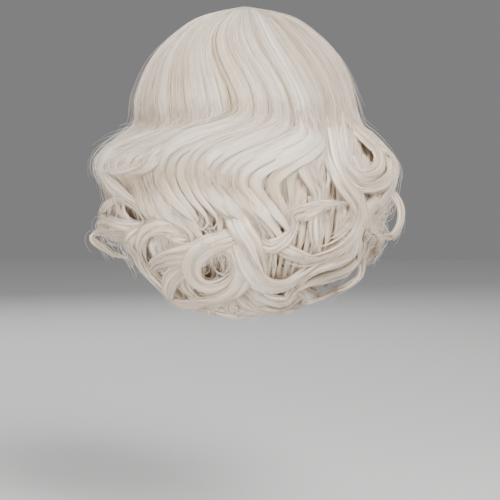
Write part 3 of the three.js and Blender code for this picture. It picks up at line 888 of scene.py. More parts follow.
@dataclass(frozen=True)
class BundleLook:
    """How the slim locks of one lock lie side by side. Lengths are in millimetres."""

    tone: float = 0.12
    own_tone: float = 0.09
    aside: float = 0.08
    lift: float = 0.7
    arch: float = 1.8
    sway: tuple[float, float] = (1.1, 0.9)
    cycles: tuple[float, float] = (0.4, 1.4)
    reach: float = 0.46
    gathers: tuple[float, float] = (0.1, 0.75)
    ends: tuple[float, float] = (0.84, 1)
    depths: tuple[float, float] = (2.4, 3.6)
    widths: tuple[float, float] = (0.3, 0.48)


@dataclass(frozen=True)
class ThreadLook:
    """Long strands over the crown locks. Heights are in millimetres, starts and lengths are shares."""

    each: int = 5
    starts: tuple[float, float] = (0, 0.5)
    lengths: tuple[float, float] = (0.35, 0.9)
    heights: tuple[float, float] = (-2.2, 0.2)
    end_drop: float = 0.6
    drops_from: float = 0.9
    tone: float = 0.06
    tone_spread: float = 0.28


@dataclass(frozen=True)
class WispLook:
    """Airy curls, rolled or laid. Arcs, headings, lifts, roots and drift are as in LockRow."""

    width: float = 9.0
    depth: float = 6.0
    sizes: tuple[float, float] = (0.55, 1.0)
    hairs: tuple[int, int] = (7, 15)
    tone: float = 0.1
    tip: float = 0.5
    rolled_share: float = 0.6
    rolled_arcs: tuple[tuple[float, float], ...] = ((0.09, 35), (0.12, -110), (0.1, -120), (0.07, -80))
    rolled_heading: float = 5
    rolled_lift: float = -5
    rolled_root: float = -11
    drift: float = 25
    laid_arcs: tuple[tuple[float, float], ...] = ((0.1, -20), (0.14, 110), (0.12, 110))
    laid_heading: float = -40
    laid_lift: float = 0.5


@dataclass(frozen=True)
class FlyawayLook:
    """Fine hairs that stand off the locks, in millimetres. Starts and lengths are shares of a lock."""

    radius: float = 0.13
    lift: float = 2.0
    starts: tuple[float, float] = (0.2, 0.6)
    lengths: tuple[float, float] = (0.25, 0.5)
    outwards: tuple[float, float] = (2, 10)
    aside: float = 9
    opens: float = 1.4
    curls: tuple[float, float] = (2, 7)
    curl_reach: tuple[float, float] = (0.5, 2.5)
    tones: tuple[float, float] = (0.1, 0.6)


@dataclass(frozen=True)
class SectionPlan:
    """One section of hair, between two turns in degrees from the middle of the back."""

    name: str
    start: float
    end: float
    seed: int
    crown: CrownPlan | None = None
    curtain: CurtainPlan | None = None
    fill: FillPlan | None = None
    routes: tuple[Route, ...] = ()
    flyaways: int = 40
    wisps: int = 6
    wisp_levels: tuple[float, float] = (0.2, 0.5)


@dataclass
class HairSection:
    """Builds one section of hair as one mesh."""

    head: HeadForm
    plan: SectionPlan
    look: StrandLook
    clumps: ClumpLook = ClumpLook()
    slips: BundleLook = BundleLook()
    threads: ThreadLook = ThreadLook()
    wisps: WispLook = WispLook()
    flyaways: FlyawayLook = FlyawayLook()
    lock_depth: float = 4.2 * MM
    thickness: float = 1.7 * MM
    lock_overlap: float = 1.9
    lock_widths: tuple[float, float] = (1.6 * MM, 17 * MM)
    under_sink: float = 1.5 * MM
    under_extra: float = -0.04
    # Painted shade on the crown's under layer of locks
    under_painted_shade: float = -0.4
    under_overlap: float = 1.2
    body_sides: int = 8
    fill_slips: int = 4
    # Place along the outline where the crown locks start
    whorl: float = 0.0015
    # Points of a crown lock down to its hem, of all of it, and stations of its mesh
    crown_points: int = 60
    lock_points: int = 90
    crown_stations: int = 42
    route_stations: int = 30
    fill_stations: int = 22
    curtain_stations: int = 16
    curtain_points: int = 24
    # Levels between which a lock can get painted shade inside the first bend, coming and going
    bend_comes: tuple[float, float] = (-0.97, -0.6)
    bend_goes: tuple[float, float] = (-0.25, 0.0)
    crown_tapers: float = 0.74
    tail_slimmer: float = 0.25
    tail_from: float = 0.9
    # Painted shade on tails that sink under the hair, for each millimetre of sink
    sunk_tail_painted_shade: float = 0.04

    def build(self) -> bpy.types.Object:
        """Builds the section's mesh.

        Returns:
            The mesh object, in place and without a material.
        """
        rng = np.random.default_rng(self.plan.seed)
        parts = MeshParts()
        makers = (self.crown_locks, self.curtain_locks, self.listed_locks, self.fill_locks)
        locks = [lock for make in makers for lock in make(rng)]
        for lock in locks:
            lock.add_body(parts, rng, self.body_sides)
        bodies = parts.triangles()
        for lock in locks:
            lock.add_strands(parts, rng, self.look)
        self.add_crown_threads(parts, rng)
        self.add_wisps(parts, rng)
        self.add_flyaways(parts, rng, locks)
        name = f"{self.plan.name}_hair"
        total = parts.triangles()
        log.info("%s: %d locks, %d triangles, %d of them strands", name, len(locks), total, total - bodies)
        return parts.build(name)

    def crown_line(
        self, start: np.ndarray, share: np.ndarray, swing: np.ndarray, extra: np.ndarray
    ) -> tuple[np.ndarray, np.ndarray, np.ndarray, np.ndarray]:
        """Crown lines that follow the wave.

        Args:
            start: Turn of each line at the top, in degrees, as lines by 1.
            share: Shares of the way from the whorl to the hem.
            swing: Personal strength of each line's wave, as lines by 1.
            extra: Level by which each line passes the hem, as lines by 1.

        Returns:
            Points, outward directions, turns and levels, as lines by stations.
        """
        head = self.head
        hem = head.along_at(head.hem(start) + extra)
        along = self.whorl + (hem - self.whorl) * share
        level = head.spline(along)[..., 0]
        straight = head.point(np.radians(start) + 0 * along, along)
        radius = np.hypot(straight[..., 0], straight[..., 1])
        turn = head.strand_turn(start, level, radius, swing)
        point, out, _, _ = head.at(turn, along)
        relief = head.relief(start, level)
        return point + out * relief[..., None], out, turn, level

    def crown_locks(self, rng: np.random.Generator) -> list[Lock]:
        """Locks that run from the whorl down over the crown and end in curls."""
        plan = self.plan.crown
        if plan is None:
            return []
        look = self.clumps
        locks = []
        spacing = (self.plan.end - self.plan.start) / plan.locks
        placed = 0
        while placed < plan.locks:
            size = min(int(rng.integers(*look.sizes)), plan.locks - placed)
            swing = rng.normal(1, look.swing)
            lift, extra = rng.uniform(*look.lifts), rng.uniform(*look.extras)
            tail = plan.tails[int(rng.integers(len(plan.tails)))]
            scale, tone = rng.uniform(*look.scales), rng.normal(0, look.tone)
            for k in range(size):
                aside = rng.uniform(-look.own_place, look.own_place)
                start = self.plan.start + spacing * (placed + k + 0.5 + aside)
                arch = 1 - (2 * (k + 0.5) / size - 1) ** 2
                arcs = tuple(
                    (length * scale * rng.uniform(*look.own_lengths), bend * rng.uniform(*look.own_bends))
                    for length, bend in tail.arcs
                )
                ending = Tail(arcs, tail.sink * rng.uniform(*look.own_sinks))
                own = swing + rng.normal(0, look.own_swing)
                over = lift + look.arch * arch - look.arch + rng.uniform(-look.own_lift, look.own_lift)
                valley = float(k == 0)
                # Painted shade inside the first bend: on some locks at random, and on the first lock of each
                # clump
                shadow = float(rng.random() < look.shadowed) * rng.uniform(*look.shadows)
                shadow += look.valley * valley
                raised = over * MM - self.lock_depth / 2
                path, spread, shade = self.crown_path(start, own, raised, extra, ending, spacing, shadow)
                hue = tone + rng.normal(0, look.own_tone)
                spread = spread * rng.uniform(*look.own_widths) * (1 - look.slimmer * valley)
                look_along = {"tapers": self.crown_tapers, "fill": spread, "shade": shade}
                locks.append(Lock(path, 1.0, self.thickness, hue, plan.strands, **look_along))
            placed += size
        step = (self.plan.end - self.plan.start) / plan.under_locks
        under = -self.lock_depth - self.under_sink
        for k in range(plan.under_locks):
            start = self.plan.start + step * (k + 0.5)
            path, spread, _ = self.crown_path(start, 1.0, under, self.under_extra, None, step)
            spread = spread * self.under_overlap
            # The under layer carries painted shade
            locks.append(Lock(path, 1.0, self.thickness, self.under_painted_shade, 0, fill=spread))
        return locks

    def crown_path(
        self,
        start: float,
        swing: float,
        raised: float,
        extra: float,
        tail: Tail | None,
        spacing: float,
        shadow: float = 0.0,
    ) -> tuple[LockPath, np.ndarray, np.ndarray]:
        """Path of one crown lock with its tail, and its width and shade along it.

        Args:
            start: Turn at the top, in degrees.
            swing: Personal strength of the wave.
            raised: Height of the lock's middle over the outline.
            extra: Level by which the crown part passes the hem.
            tail: How the lock ends, or None for a lock that stops at the hem.
            spacing: Turn between neighbours, in degrees.
            shadow: Painted shade, how much darker the lock is inside the first bend of the wave.

        Returns:
            The path, and its widths and shades at places evenly spaced along it.
        """
        last = self.crown_points - 1
        share = np.linspace(0, 1, self.crown_points)[None, :]
        lines = self.crown_line(np.array([[start]]), share, np.array([[swing]]), np.array([[extra]]))
        point, out, turn, level = (rows[0] for rows in lines)
        points = point + out * raised * smooth_step(share[0], 0, 0.2)[:, None]
        outs = out
        if tail:
            along = float(self.head.along_at(float(self.head.hem(np.array(start))) + extra))
            _, _, per_turn, per_along = self.head.at(np.array(turn[-1]), np.array(along))
            sideways = (turn[-1] - turn[-4]) * float(per_turn)
            aim = math.atan2(sideways, 3 * (along - self.whorl) / last * float(per_along))
            walk = Walk(self.head, float(turn[-1]), along, aim)
            walk.run(tail.arcs, raised, raised - tail.sink * MM, 0.7)
            offset = points[-1] - walk.points[0]
            fade = np.linspace(1, 0, len(walk.points))[1:, None] ** 2
            points = np.vstack([points, np.array(walk.points)[1:] + offset * fade])
            outs = np.vstack([outs, np.array(walk.outs)[1:]])
        run = run_of(points)
        even = np.linspace(0, run[-1], self.lock_points)
        points, outs = sample(even, run, points), unit(sample(even, run, outs))
        radius = np.hypot(points[:, 0], points[:, 1])
        width = np.clip(radius * math.radians(spacing) * self.lock_overlap, *self.lock_widths)
        ending = run[last] / run[-1]
        if tail:
            width *= 1 - self.tail_slimmer * smooth_step(even / run[-1], ending * self.tail_from, 1)
        # Painted shade, deeper as the tail sinks deeper under the hair
        sunk_painted_shade = self.sunk_tail_painted_shade * (tail.sink if tail else 0) * smooth_step(even / run[-1], ending, 1)
        bend = smooth_step(level, *self.bend_comes) * (1 - smooth_step(level, *self.bend_goes))
        # Painted light and shade of the wave, less the painted shade inside the first bend
        tones = self.head.painted_wave_shading(np.array(start), level) - shadow * bend
        shade = np.interp(even, run[: self.crown_points], tones) - sunk_painted_shade
        return LockPath.through(points, outs, self.crown_stations), width, shade

    def curtain_locks(self, rng: np.random.Generator) -> list[Lock]:
        """Straight locks that hang under the curls, in two layers."""
        plan, head = self.plan.curtain, self.head
        if plan is None:
            return []
        locks = []
        step = (self.plan.end - self.plan.start) / plan.locks
        allowance = head.cap_wall + plan.clearance * MM
        for layer, (overlap, tone) in enumerate(zip(plan.widths, plan.tones)):
            for k in range(plan.locks):
                turn = math.radians(self.plan.start + step * (k + 0.5 + plan.aside * rng.uniform(-1, 1)))
                bottom = plan.bottom + rng.uniform(*plan.bottoms)
                along = np.linspace(head.along_at(plan.top), head.along_at(bottom), self.curtain_points)
                level = head.spline(along)[:, 0]
                lean = rng.normal(0, plan.lean) * smooth_step(level, plan.top, bottom)
                point, out, _, _ = head.at(turn + lean, along)
                seated = head.onto_head(point, allowance, exact=True)
                free = point - out * (plan.inset + plan.layer_gap * layer) * MM
                share = smooth_step(level, plan.top, plan.top + plan.leaves_over)[:, None]
                line = head.onto_head(seated * (1 - share) + free * share, allowance)
                width = head.at_widest * math.radians(step) * overlap
                # Painted shade of the layer, with a random spread of the hair's own tone
                hue = tone + rng.normal(0, plan.tone_spread)
                path = LockPath.through(line, out, self.curtain_stations)
                locks.append(Lock(path, width, plan.depth * MM, hue, plan.strands, tip=0.3))
        return locks

    def bundle(
        self, path: LockPath, width: float, rng: np.random.Generator, strands: int, slips: int = 5
    ) -> list[Lock]:
        """Slim flat locks side by side that read as one.

        Args:
            path: Path of the whole lock.
            width: Width of the whole lock.
            rng: Source of random numbers.
            strands: Strands over each slim lock.
            slips: Number of slim locks.

        Returns:
            The slim locks.
        """
        look = self.slips
        locks = []
        tone = rng.normal(0, look.tone)
        for k in range(slips):
            side = (2 * k + 1) / slips - 1 + rng.uniform(-look.aside, look.aside)
            lift = (rng.uniform(-look.lift, look.lift) - look.arch * side**2) * MM
            reach = [look.sway[0] * MM, look.sway[1] * MM]
            sway = np.array([reach, rng.uniform(*look.cycles, 2), rng.uniform(0, 6.28, 2)]).T
            gather, end = rng.uniform(*look.gathers), rng.uniform(*look.ends)
            beside = path.beside(side * width * look.reach, lift, gather, sway, end)
            thick = rng.uniform(*look.depths) * MM
            slim = width * rng.uniform(*look.widths)
            locks.append(Lock(beside, slim, thick, tone + rng.normal(0, look.own_tone), strands))
        return locks

    def listed_locks(self, rng: np.random.Generator) -> list[Lock]:
        """The section's listed routes."""
        locks = []
        for route in self.plan.routes:
            path = route.path(self.head, self.route_stations)
            locks += self.bundle(path, route.width * MM * route.fullness, rng, strands=7)
        return locks

    def fill_locks(self, rng: np.random.Generator) -> list[Lock]:
        """Curls scattered over the section, evenly but with no order that shows."""
        plan = self.plan.fill
        if plan is None:
            return []
        locks = []
        for k in range(plan.curls):
            share = (k + rng.uniform(0.1, 0.9)) / plan.curls
            turn = self.plan.start + (self.plan.end - self.plan.start) * share
            level = plan.top + (plan.bottom - plan.top) * ((k * plan.stagger) % 1.0)
            way = -1 if rng.random() < 0.5 + plan.lean else 1
            heading = -way * rng.uniform(*plan.headings)
            size = plan.size * rng.uniform(*plan.sizes)
            # The first arc bends the other way
            ways = (-way, way, way, way)
            arcs = tuple((x * size, sign * rng.uniform(*bends)) for sign, (x, *bends) in zip(ways, plan.arcs))
            width, lift = rng.uniform(*plan.widths), plan.lift + rng.uniform(*plan.lifts)
            row = LockRow(turn, level, heading, arcs, width, lift, plan.lift + plan.root)
            path = row.path(self.head, self.fill_stations)
            locks += self.bundle(path, row.width * MM, rng, strands=5, slips=self.fill_slips)
        return locks

    def add_crown_threads(self, parts: MeshParts, rng: np.random.Generator) -> None:
        """Adds long strands that follow the wave over the crown locks."""
        plan = self.plan.crown
        if plan is None:
            return
        look = self.threads
        count = plan.locks * look.each
        start = rng.uniform(self.plan.start + 1, self.plan.end - 1, (count, 1))
        swing = 1 + rng.normal(0, self.clumps.swing, (count, 1))
        first = rng.uniform(*look.starts, (count, 1))
        last = np.minimum(first + rng.uniform(*look.lengths, (count, 1)), 1)
        share = first + (last - first) * np.linspace(0, 1, self.look.stations)
        extra = rng.uniform(*self.clumps.extras, (count, 1))
        point, out, _, level = self.crown_line(start, share, swing, extra)
        drop = look.end_drop * MM * smooth_step(share, look.drops_from, 1)
        height = rng.uniform(*look.heights, (count, 1)) * MM - drop
        # The threads carry the same painted light and shade of the wave
        tone = rng.normal(look.tone, look.tone_spread, (count, 1)) + self.head.painted_wave_shading(start, level)
        add_threads(parts, point + out * height[..., None], self.look, rng, tone)

    def add_wisps(self, parts: MeshParts, rng: np.random.Generator) -> None:
        """Adds airy curls of a few loose strands each, which roll outwards from the outline."""
        look, stations = self.wisps, self.look.stations
        airy = StrandLook(stations, 0.17 * MM, wander=0.35, loose=1.5 * MM, stray=0.9, stray_share=0.4)
        for _ in range(self.plan.wisps):
            turn = rng.uniform(self.plan.start, self.plan.end)
            level = rng.uniform(*self.plan.wisp_levels)
            size = rng.uniform(*look.sizes)
            way = 1 if rng.random() < 0.5 else -1
            if rng.random() < look.rolled_share:
                arcs = tuple((length * size, bend) for length, bend in look.rolled_arcs)
                drift = rng.uniform(-look.drift, look.drift)
                places = (look.width, look.rolled_lift, look.rolled_root)
                row = LockRow(turn, level, look.rolled_heading, arcs, *places, Facing.ROLLED, drift)
            else:
                arcs = tuple((length * size, way * bend) for length, bend in look.laid_arcs)
                row = LockRow(turn, level, way * look.laid_heading, arcs, look.width, look.laid_lift)
            hairs = int(rng.integers(*look.hairs))
            path = row.path(self.head, stations)
            wisp = Lock(path, look.width * MM, look.depth * MM, look.tone, hairs, tip=look.tip)
            wisp.add_strands(parts, rng, airy)

    def add_flyaways(self, parts: MeshParts, rng: np.random.Generator, locks: list[Lock]) -> None:
        """Adds fine hairs that stand off the locks."""
        look, stations = self.flyaways, self.look.stations
        curled = [lock for lock in locks if lock.strands > 0]
        lines = []
        for _ in range(self.plan.flyaways):
            path = curled[int(rng.integers(len(curled)))].path
            first = rng.uniform(*look.starts)
            part = np.linspace(first, min(first + rng.uniform(*look.lengths), 1), stations)
            place = np.linspace(0, 1, len(path.middle))
            lines_of = (path.middle, path.out, path.across)
            middle, out, across = (sample(part, place, rows) for rows in lines_of)
            free = np.linspace(0, 1, stations)[:, None] ** look.opens
            away = out * rng.uniform(*look.outwards) * MM + across * rng.uniform(-look.aside, look.aside) * MM
            wave = np.sin(np.linspace(0, rng.uniform(*look.curls), stations))[:, None]
            curl = wave * rng.uniform(*look.curl_reach) * MM
            lines.append(middle + out * look.lift * MM + away * free + across * curl)
        if lines:
            tone = rng.uniform(*look.tones, (len(lines), 1)) + np.zeros(stations)
            add_threads(parts, np.array(lines), StrandLook(stations, look.radius * MM), rng, tone)


class NodeTree:
    """Small helper that adds and links shader nodes."""

    def __init__(self, tree: bpy.types.NodeTree) -> None:
        self.tree = tree
        self.column = 0

    def add(self, kind: str, **values: object) -> bpy.types.Node:
        """Adds a node.

        Args:
            kind: Blender's name of the node type.
            values: Properties of the node, or of its inputs where no property has that name.

        Returns:
            The new node.
        """
        node = self.tree.nodes.new(kind)
        node.location = (self.column * 190, -40 * (self.column % 5))
        self.column += 1
        for key, value in values.items():
            if hasattr(node, key):
                setattr(node, key, value)
            else:
                node.inputs[key.replace("_", " ")].default_value = value
        return node

    def link(self, source: bpy.types.NodeSocket, target: bpy.types.NodeSocket) -> None:
        """Links one socket to another."""
        self.tree.links.new(source, target)

    def math(
        self, operation: str, first: object, second: object = 0.0, third: object = 0.0
    ) -> bpy.types.NodeSocket:
        """Adds a math node on sockets or numbers and returns its output."""
        node = self.add("ShaderNodeMath", operation=operation)
        for socket, value in zip(node.inputs, (first, second, third)):
            if isinstance(value, bpy.types.NodeSocket):
                self.link(value, socket)
            else:
                socket.default_value = value
        return node.outputs[0]


# Strand noises, from broad to fine: waves per metre across and along the strands, detail, and
# weights in the colour and in the height
STREAKS: tuple[tuple[float, float, float, float, float], ...] = (
    (60.0, 12.0, 1.0, 0.8, 0.0),
    (420.0, 8.0, 2.0, 1.5, 0.75),
    (1500.0, 14.0, 2.0, 0.9, 0.45),
)
STREAK_ROUGHNESS = 0.55
TONE_WEIGHT = 0.55
# Keeps the middle of the mix at 0.64
MIX_OFFSET = 0.96


def streak_group() -> bpy.types.NodeTree:
    """Shared node group: streaks of fine and broad strands along the strand UV.

    Returns:
        The group, with an input Tone and the outputs Mix for colour and Height for bump.
    """
    group = bpy.data.node_groups.new("hair_streaks", "ShaderNodeTree")
    group.interface.new_socket("Tone", in_out="INPUT", socket_type="NodeSocketFloat")
    group.interface.new_socket("Mix", in_out="OUTPUT", socket_type="NodeSocketFloat")
    group.interface.new_socket("Height", in_out="OUTPUT", socket_type="NodeSocketFloat")
    tree = NodeTree(group)
    entry = tree.add("NodeGroupInput")
    leave = tree.add("NodeGroupOutput")
    uv = tree.add("ShaderNodeUVMap", uv_map="strand")
    mixed = tree.math("MULTIPLY", entry.outputs["Tone"], TONE_WEIGHT)
    height = 0.0
    for across, along, detail, in_mix, in_height in STREAKS:
        mapping = tree.add("ShaderNodeMapping", vector_type="POINT")
        mapping.inputs["Scale"].default_value = (across, along, 1)
        tree.link(uv.outputs["UV"], mapping.inputs["Vector"])
        noise = tree.add("ShaderNodeTexNoise", noise_dimensions="2D", Scale=1.0, Detail=detail)
        noise.inputs["Roughness"].default_value = STREAK_ROUGHNESS
        tree.link(mapping.outputs["Vector"], noise.inputs["Vector"])
        mixed = tree.math("MULTIPLY_ADD", noise.outputs["Fac"], in_mix, mixed)
        if in_height:
            height = tree.math("MULTIPLY_ADD", noise.outputs["Fac"], in_height, height)
    tree.link(tree.math("SUBTRACT", mixed, MIX_OFFSET), leave.inputs["Mix"])
    tree.link(height, leave.inputs["Height"])
    return group


def weave_group(reach: float = 85 * MM) -> bpy.types.NodeTree:
    """Shared node group: a fine weave over the object coordinates.

    Args:
        reach: Distance from the upright axis at which the weave is square.

    Returns:
        The group, with an input Pitch in metres and the output Height for colour and bump.
    """
    group = bpy.data.node_groups.new("fine_weave", "ShaderNodeTree")
    group.interface.new_socket("Pitch", in_out="INPUT", socket_type="NodeSocketFloat")
    group.interface.new_socket("Height", in_out="OUTPUT", socket_type="NodeSocketFloat")
    tree = NodeTree(group)
    entry = tree.add("NodeGroupInput")
    leave = tree.add("NodeGroupOutput")
    place = tree.add("ShaderNodeTexCoord")
    parts = tree.add("ShaderNodeSeparateXYZ")
    tree.link(place.outputs["Object"], parts.inputs[0])
    around = tree.math("MULTIPLY", tree.math("ARCTAN2", parts.outputs["X"], parts.outputs["Y"]), reach)
    turns = tree.math("DIVIDE", math.tau, entry.outputs["Pitch"])
    threads = []
    for slant in ("ADD", "SUBTRACT"):
        run = tree.math(slant, around, parts.outputs["Z"])
        threads.append(tree.math("SINE", tree.math("MULTIPLY", run, turns)))
    tree.link(tree.math("MULTIPLY_ADD", tree.math("ADD", *threads), 0.25, 0.5), leave.inputs["Height"])
    return group


@dataclass(frozen=True)
class HairFinish:
    """Soft satin off-white hair."""

    # Dark end: darker strands and painted shade; light end: pale hair and painted light on crests
    root: tuple[float, float, float] = (0.62, 0.465, 0.30)
    light: tuple[float, float, float] = (0.985, 0.855, 0.71)
    roughness: float = 0.42
    relief: float = 0.35 * MM
    relief_strength: float = 0.8
    glow: float = 0.3
    glow_depth: float = 4 * MM
    glow_colour: tuple[float, float, float] = (1.0, 0.8, 0.6)
    ior: float = 1.45
    sheen: float = 0.15
    sheen_roughness: float = 0.4

    def material(self, streaks: bpy.types.NodeTree) -> bpy.types.Material:
        """Makes the material.

        Args:
            streaks: Shared group of strand streaks.

        Returns:
            The new material.
        """
        material = bpy.data.materials.new("soft_hair")
        material.use_nodes = True
        material.node_tree.nodes.clear()
        tree = NodeTree(material.node_tree)
        # Tone carries the hair's own random tone and the painted light and shade
        tone = tree.add("ShaderNodeAttribute", attribute_name="tone")
        group = tree.add("ShaderNodeGroup", node_tree=streaks)
        tree.link(tone.outputs["Fac"], group.inputs["Tone"])
        colour = tree.add("ShaderNodeMix", data_type="RGBA", clamp_factor=True)
        colour.inputs["A"].default_value = (*self.root, 1)
        colour.inputs["B"].default_value = (*self.light, 1)
        tree.link(group.outputs["Mix"], colour.inputs["Factor"])
        bump = tree.add("ShaderNodeBump", Strength=self.relief_strength, Distance=self.relief)
        tree.link(group.outputs["Height"], bump.inputs["Height"])
        surface = tree.add("ShaderNodeBsdfPrincipled", Roughness=self.roughness, IOR=self.ior)
        surface.inputs["Subsurface Weight"].default_value = self.glow
        surface.inputs["Subsurface Radius"].default_value = self.glow_colour
        surface.inputs["Subsurface Scale"].default_value = self.glow_depth
        surface.inputs["Sheen Weight"].default_value = self.sheen
        surface.inputs["Sheen Roughness"].default_value = self.sheen_roughness
        tree.link(next(o for o in colour.outputs if o.type == "RGBA"), surface.inputs["Base Color"])
        tree.link(bump.outputs["Normal"], surface.inputs["Normal"])
        output = tree.add("ShaderNodeOutputMaterial")
        tree.link(surface.outputs["BSDF"], output.inputs["Surface"])
        return material


@dataclass(frozen=True)
class ClothFinish:
    """Net or tape of one colour with a fine weave."""

    name: str
    dark: tuple[float, float, float]
    light: tuple[float, float, float]
    roughness: float
    pitch: float
    relief: float = 0.3 * MM
    relief_strength: float = 0.5

    def material(self, weave: bpy.types.NodeTree) -> bpy.types.Material:
        """Makes the material.

        Args:
            weave: Shared group of the fine weave.

        Returns:
            The new material.
        """
        material = bpy.data.materials.new(self.name)
        material.use_nodes = True
        material.node_tree.nodes.clear()
        tree = NodeTree(material.node_tree)
        group = tree.add("ShaderNodeGroup", node_tree=weave)
        group.inputs["Pitch"].default_value = self.pitch
        colour = tree.add("ShaderNodeMix", data_type="RGBA", clamp_factor=True)
        colour.inputs["A"].default_value = (*self.dark, 1)
        colour.inputs["B"].default_value = (*self.light, 1)
        tree.link(group.outputs["Height"], colour.inputs["Factor"])
        bump = tree.add("ShaderNodeBump", Strength=self.relief_strength, Distance=self.relief)
        tree.link(group.outputs["Height"], bump.inputs["Height"])
        surface = tree.add("ShaderNodeBsdfPrincipled", Roughness=self.roughness)
        tree.link(next(o for o in colour.outputs if o.type == "RGBA"), surface.inputs["Base Color"])
        tree.link(bump.outputs["Normal"], surface.inputs["Normal"])
        output = tree.add("ShaderNodeOutputMaterial")
        tree.link(surface.outputs["BSDF"], output.inputs["Surface"])
        return material


@dataclass
class HeadStrip:
    """A strip of cloth on the head's surface, from one depth below the cap's edge to another.

    It starts at the top of the head where top is None.
    """

    head: HeadForm
    name: str
    columns: int
    rows: int
    sweep: float
    top: float | None
    bottom: float
    outside: float
    wall: float

    def build(self) -> bpy.types.Object:
        """Builds the strip from a grid that is laid on the head and thickened.

        Returns:
            The mesh object, in place and without a material.
        """
        bpy.ops.object.select_all(action="DESELECT")
        bpy.ops.mesh.primitive_grid_add(x_subdivisions=self.columns, y_subdivisions=self.rows, size=2)
        strip = bpy.context.object
        strip.name = strip.data.name = self.name
        co = np.empty(len(strip.data.vertices) * 3)
        strip.data.vertices.foreach_get("co", co)
        share = (co.reshape(-1, 3) + 1) / 2
        turn = np.radians(self.sweep) * (share[:, 0] - 0.5)
        edge = self.head.edge_polar(turn)
        start = np.zeros_like(turn) if self.top is None else edge + self.top / self.head.dome
        polar = start + (edge + self.bottom / self.head.dome - start) * share[:, 1]
        side, back = self.head.width / 2 + self.outside, self.head.length / 2 + self.outside
        radius = side * back / np.hypot(back * np.sin(turn), side * np.cos(turn)) * np.sin(polar)
        height = (self.head.dome + self.outside) * np.cos(polar) - self.head.dome
        points = np.stack([-radius * np.sin(turn), radius * np.cos(turn), height], -1)
        strip.data.vertices.foreach_set("co", points.ravel())
        bpy.ops.object.mode_set(mode="EDIT")
        bpy.ops.mesh.select_all(action="SELECT")
        bpy.ops.mesh.remove_doubles(threshold=0.02 * MM)
        bpy.ops.mesh.normals_make_consistent(inside=False)
        bpy.ops.object.mode_set(mode="OBJECT")
        solidify = strip.modifiers.new("wall", "SOLIDIFY")
        solidify.thickness = self.wall
        solidify.offset = -1
        bpy.ops.object.modifier_apply(modifier=solidify.name)
        bpy.ops.object.shade_smooth()
        return strip


@dataclass
class Cap:
    """The stretch cap under the hair, with its rim band and nape strap."""

    head: HeadForm
    net: bpy.types.Material
    tape: bpy.types.Material
    band_height: float = 12 * MM
    band_wall: float = 2.4 * MM
    strap_wall: float = 1.2 * MM
    strap_height: float = 9 * MM
    strap_sweep: float = 80
    gap: float = 0.35 * MM

    def build(self) -> list[bpy.types.Object]:
        """Builds and dresses the cap's three pieces.

        Returns:
            The pieces.
        """
        head, wall = self.head, self.head.cap_wall
        gap, tall, strap_tall = self.gap, self.band_height, self.strap_height
        margin = gap + (tall - strap_tall) / 2
        inner = wall - self.band_wall - gap
        net = HeadStrip(head, "net_cap", 96, 26, 360, None, 0.0, wall, wall)
        band = HeadStrip(head, "edge_band", 96, 5, 360, gap, gap + tall, wall, self.band_wall)
        strap = HeadStrip(
            head, "back_strap", 32, 4, self.strap_sweep, margin, margin + strap_tall, inner, self.strap_wall
        )
        pieces = []
        for strip, finish, slot, nodes in (
            (net, self.net, "net", ("cap_middle", "cap_left", "cap_right")),
            (band, self.tape, "tape", ("rim_band",)),
            (strap, self.tape, "tape", ("nape_strap",)),
        ):
            piece = strip.build()
            dress(piece, finish, nodes)
            pieces.append(piece)
            log.info("%s: %d faces", piece.name, len(piece.data.polygons))
        return pieces


def dress(piece: bpy.types.Object, finish: bpy.types.Material, nodes: tuple[str, ...]) -> None:
    """Gives a piece its material and its place in the frame.

    Args:
        piece: The piece.
        finish: Its material.
        nodes: The model's nodes that the piece stands for.
    """
    piece.data.materials.clear()
    piece.data.materials.append(finish)
    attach(piece, "root")
    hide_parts(*nodes)


@dataclass(frozen=True)
class Lamp:
    """One soft light: its name, its place, the side of its square and its power in watts."""

    name: str
    place: tuple[float, float, float]
    size: float
    power: float


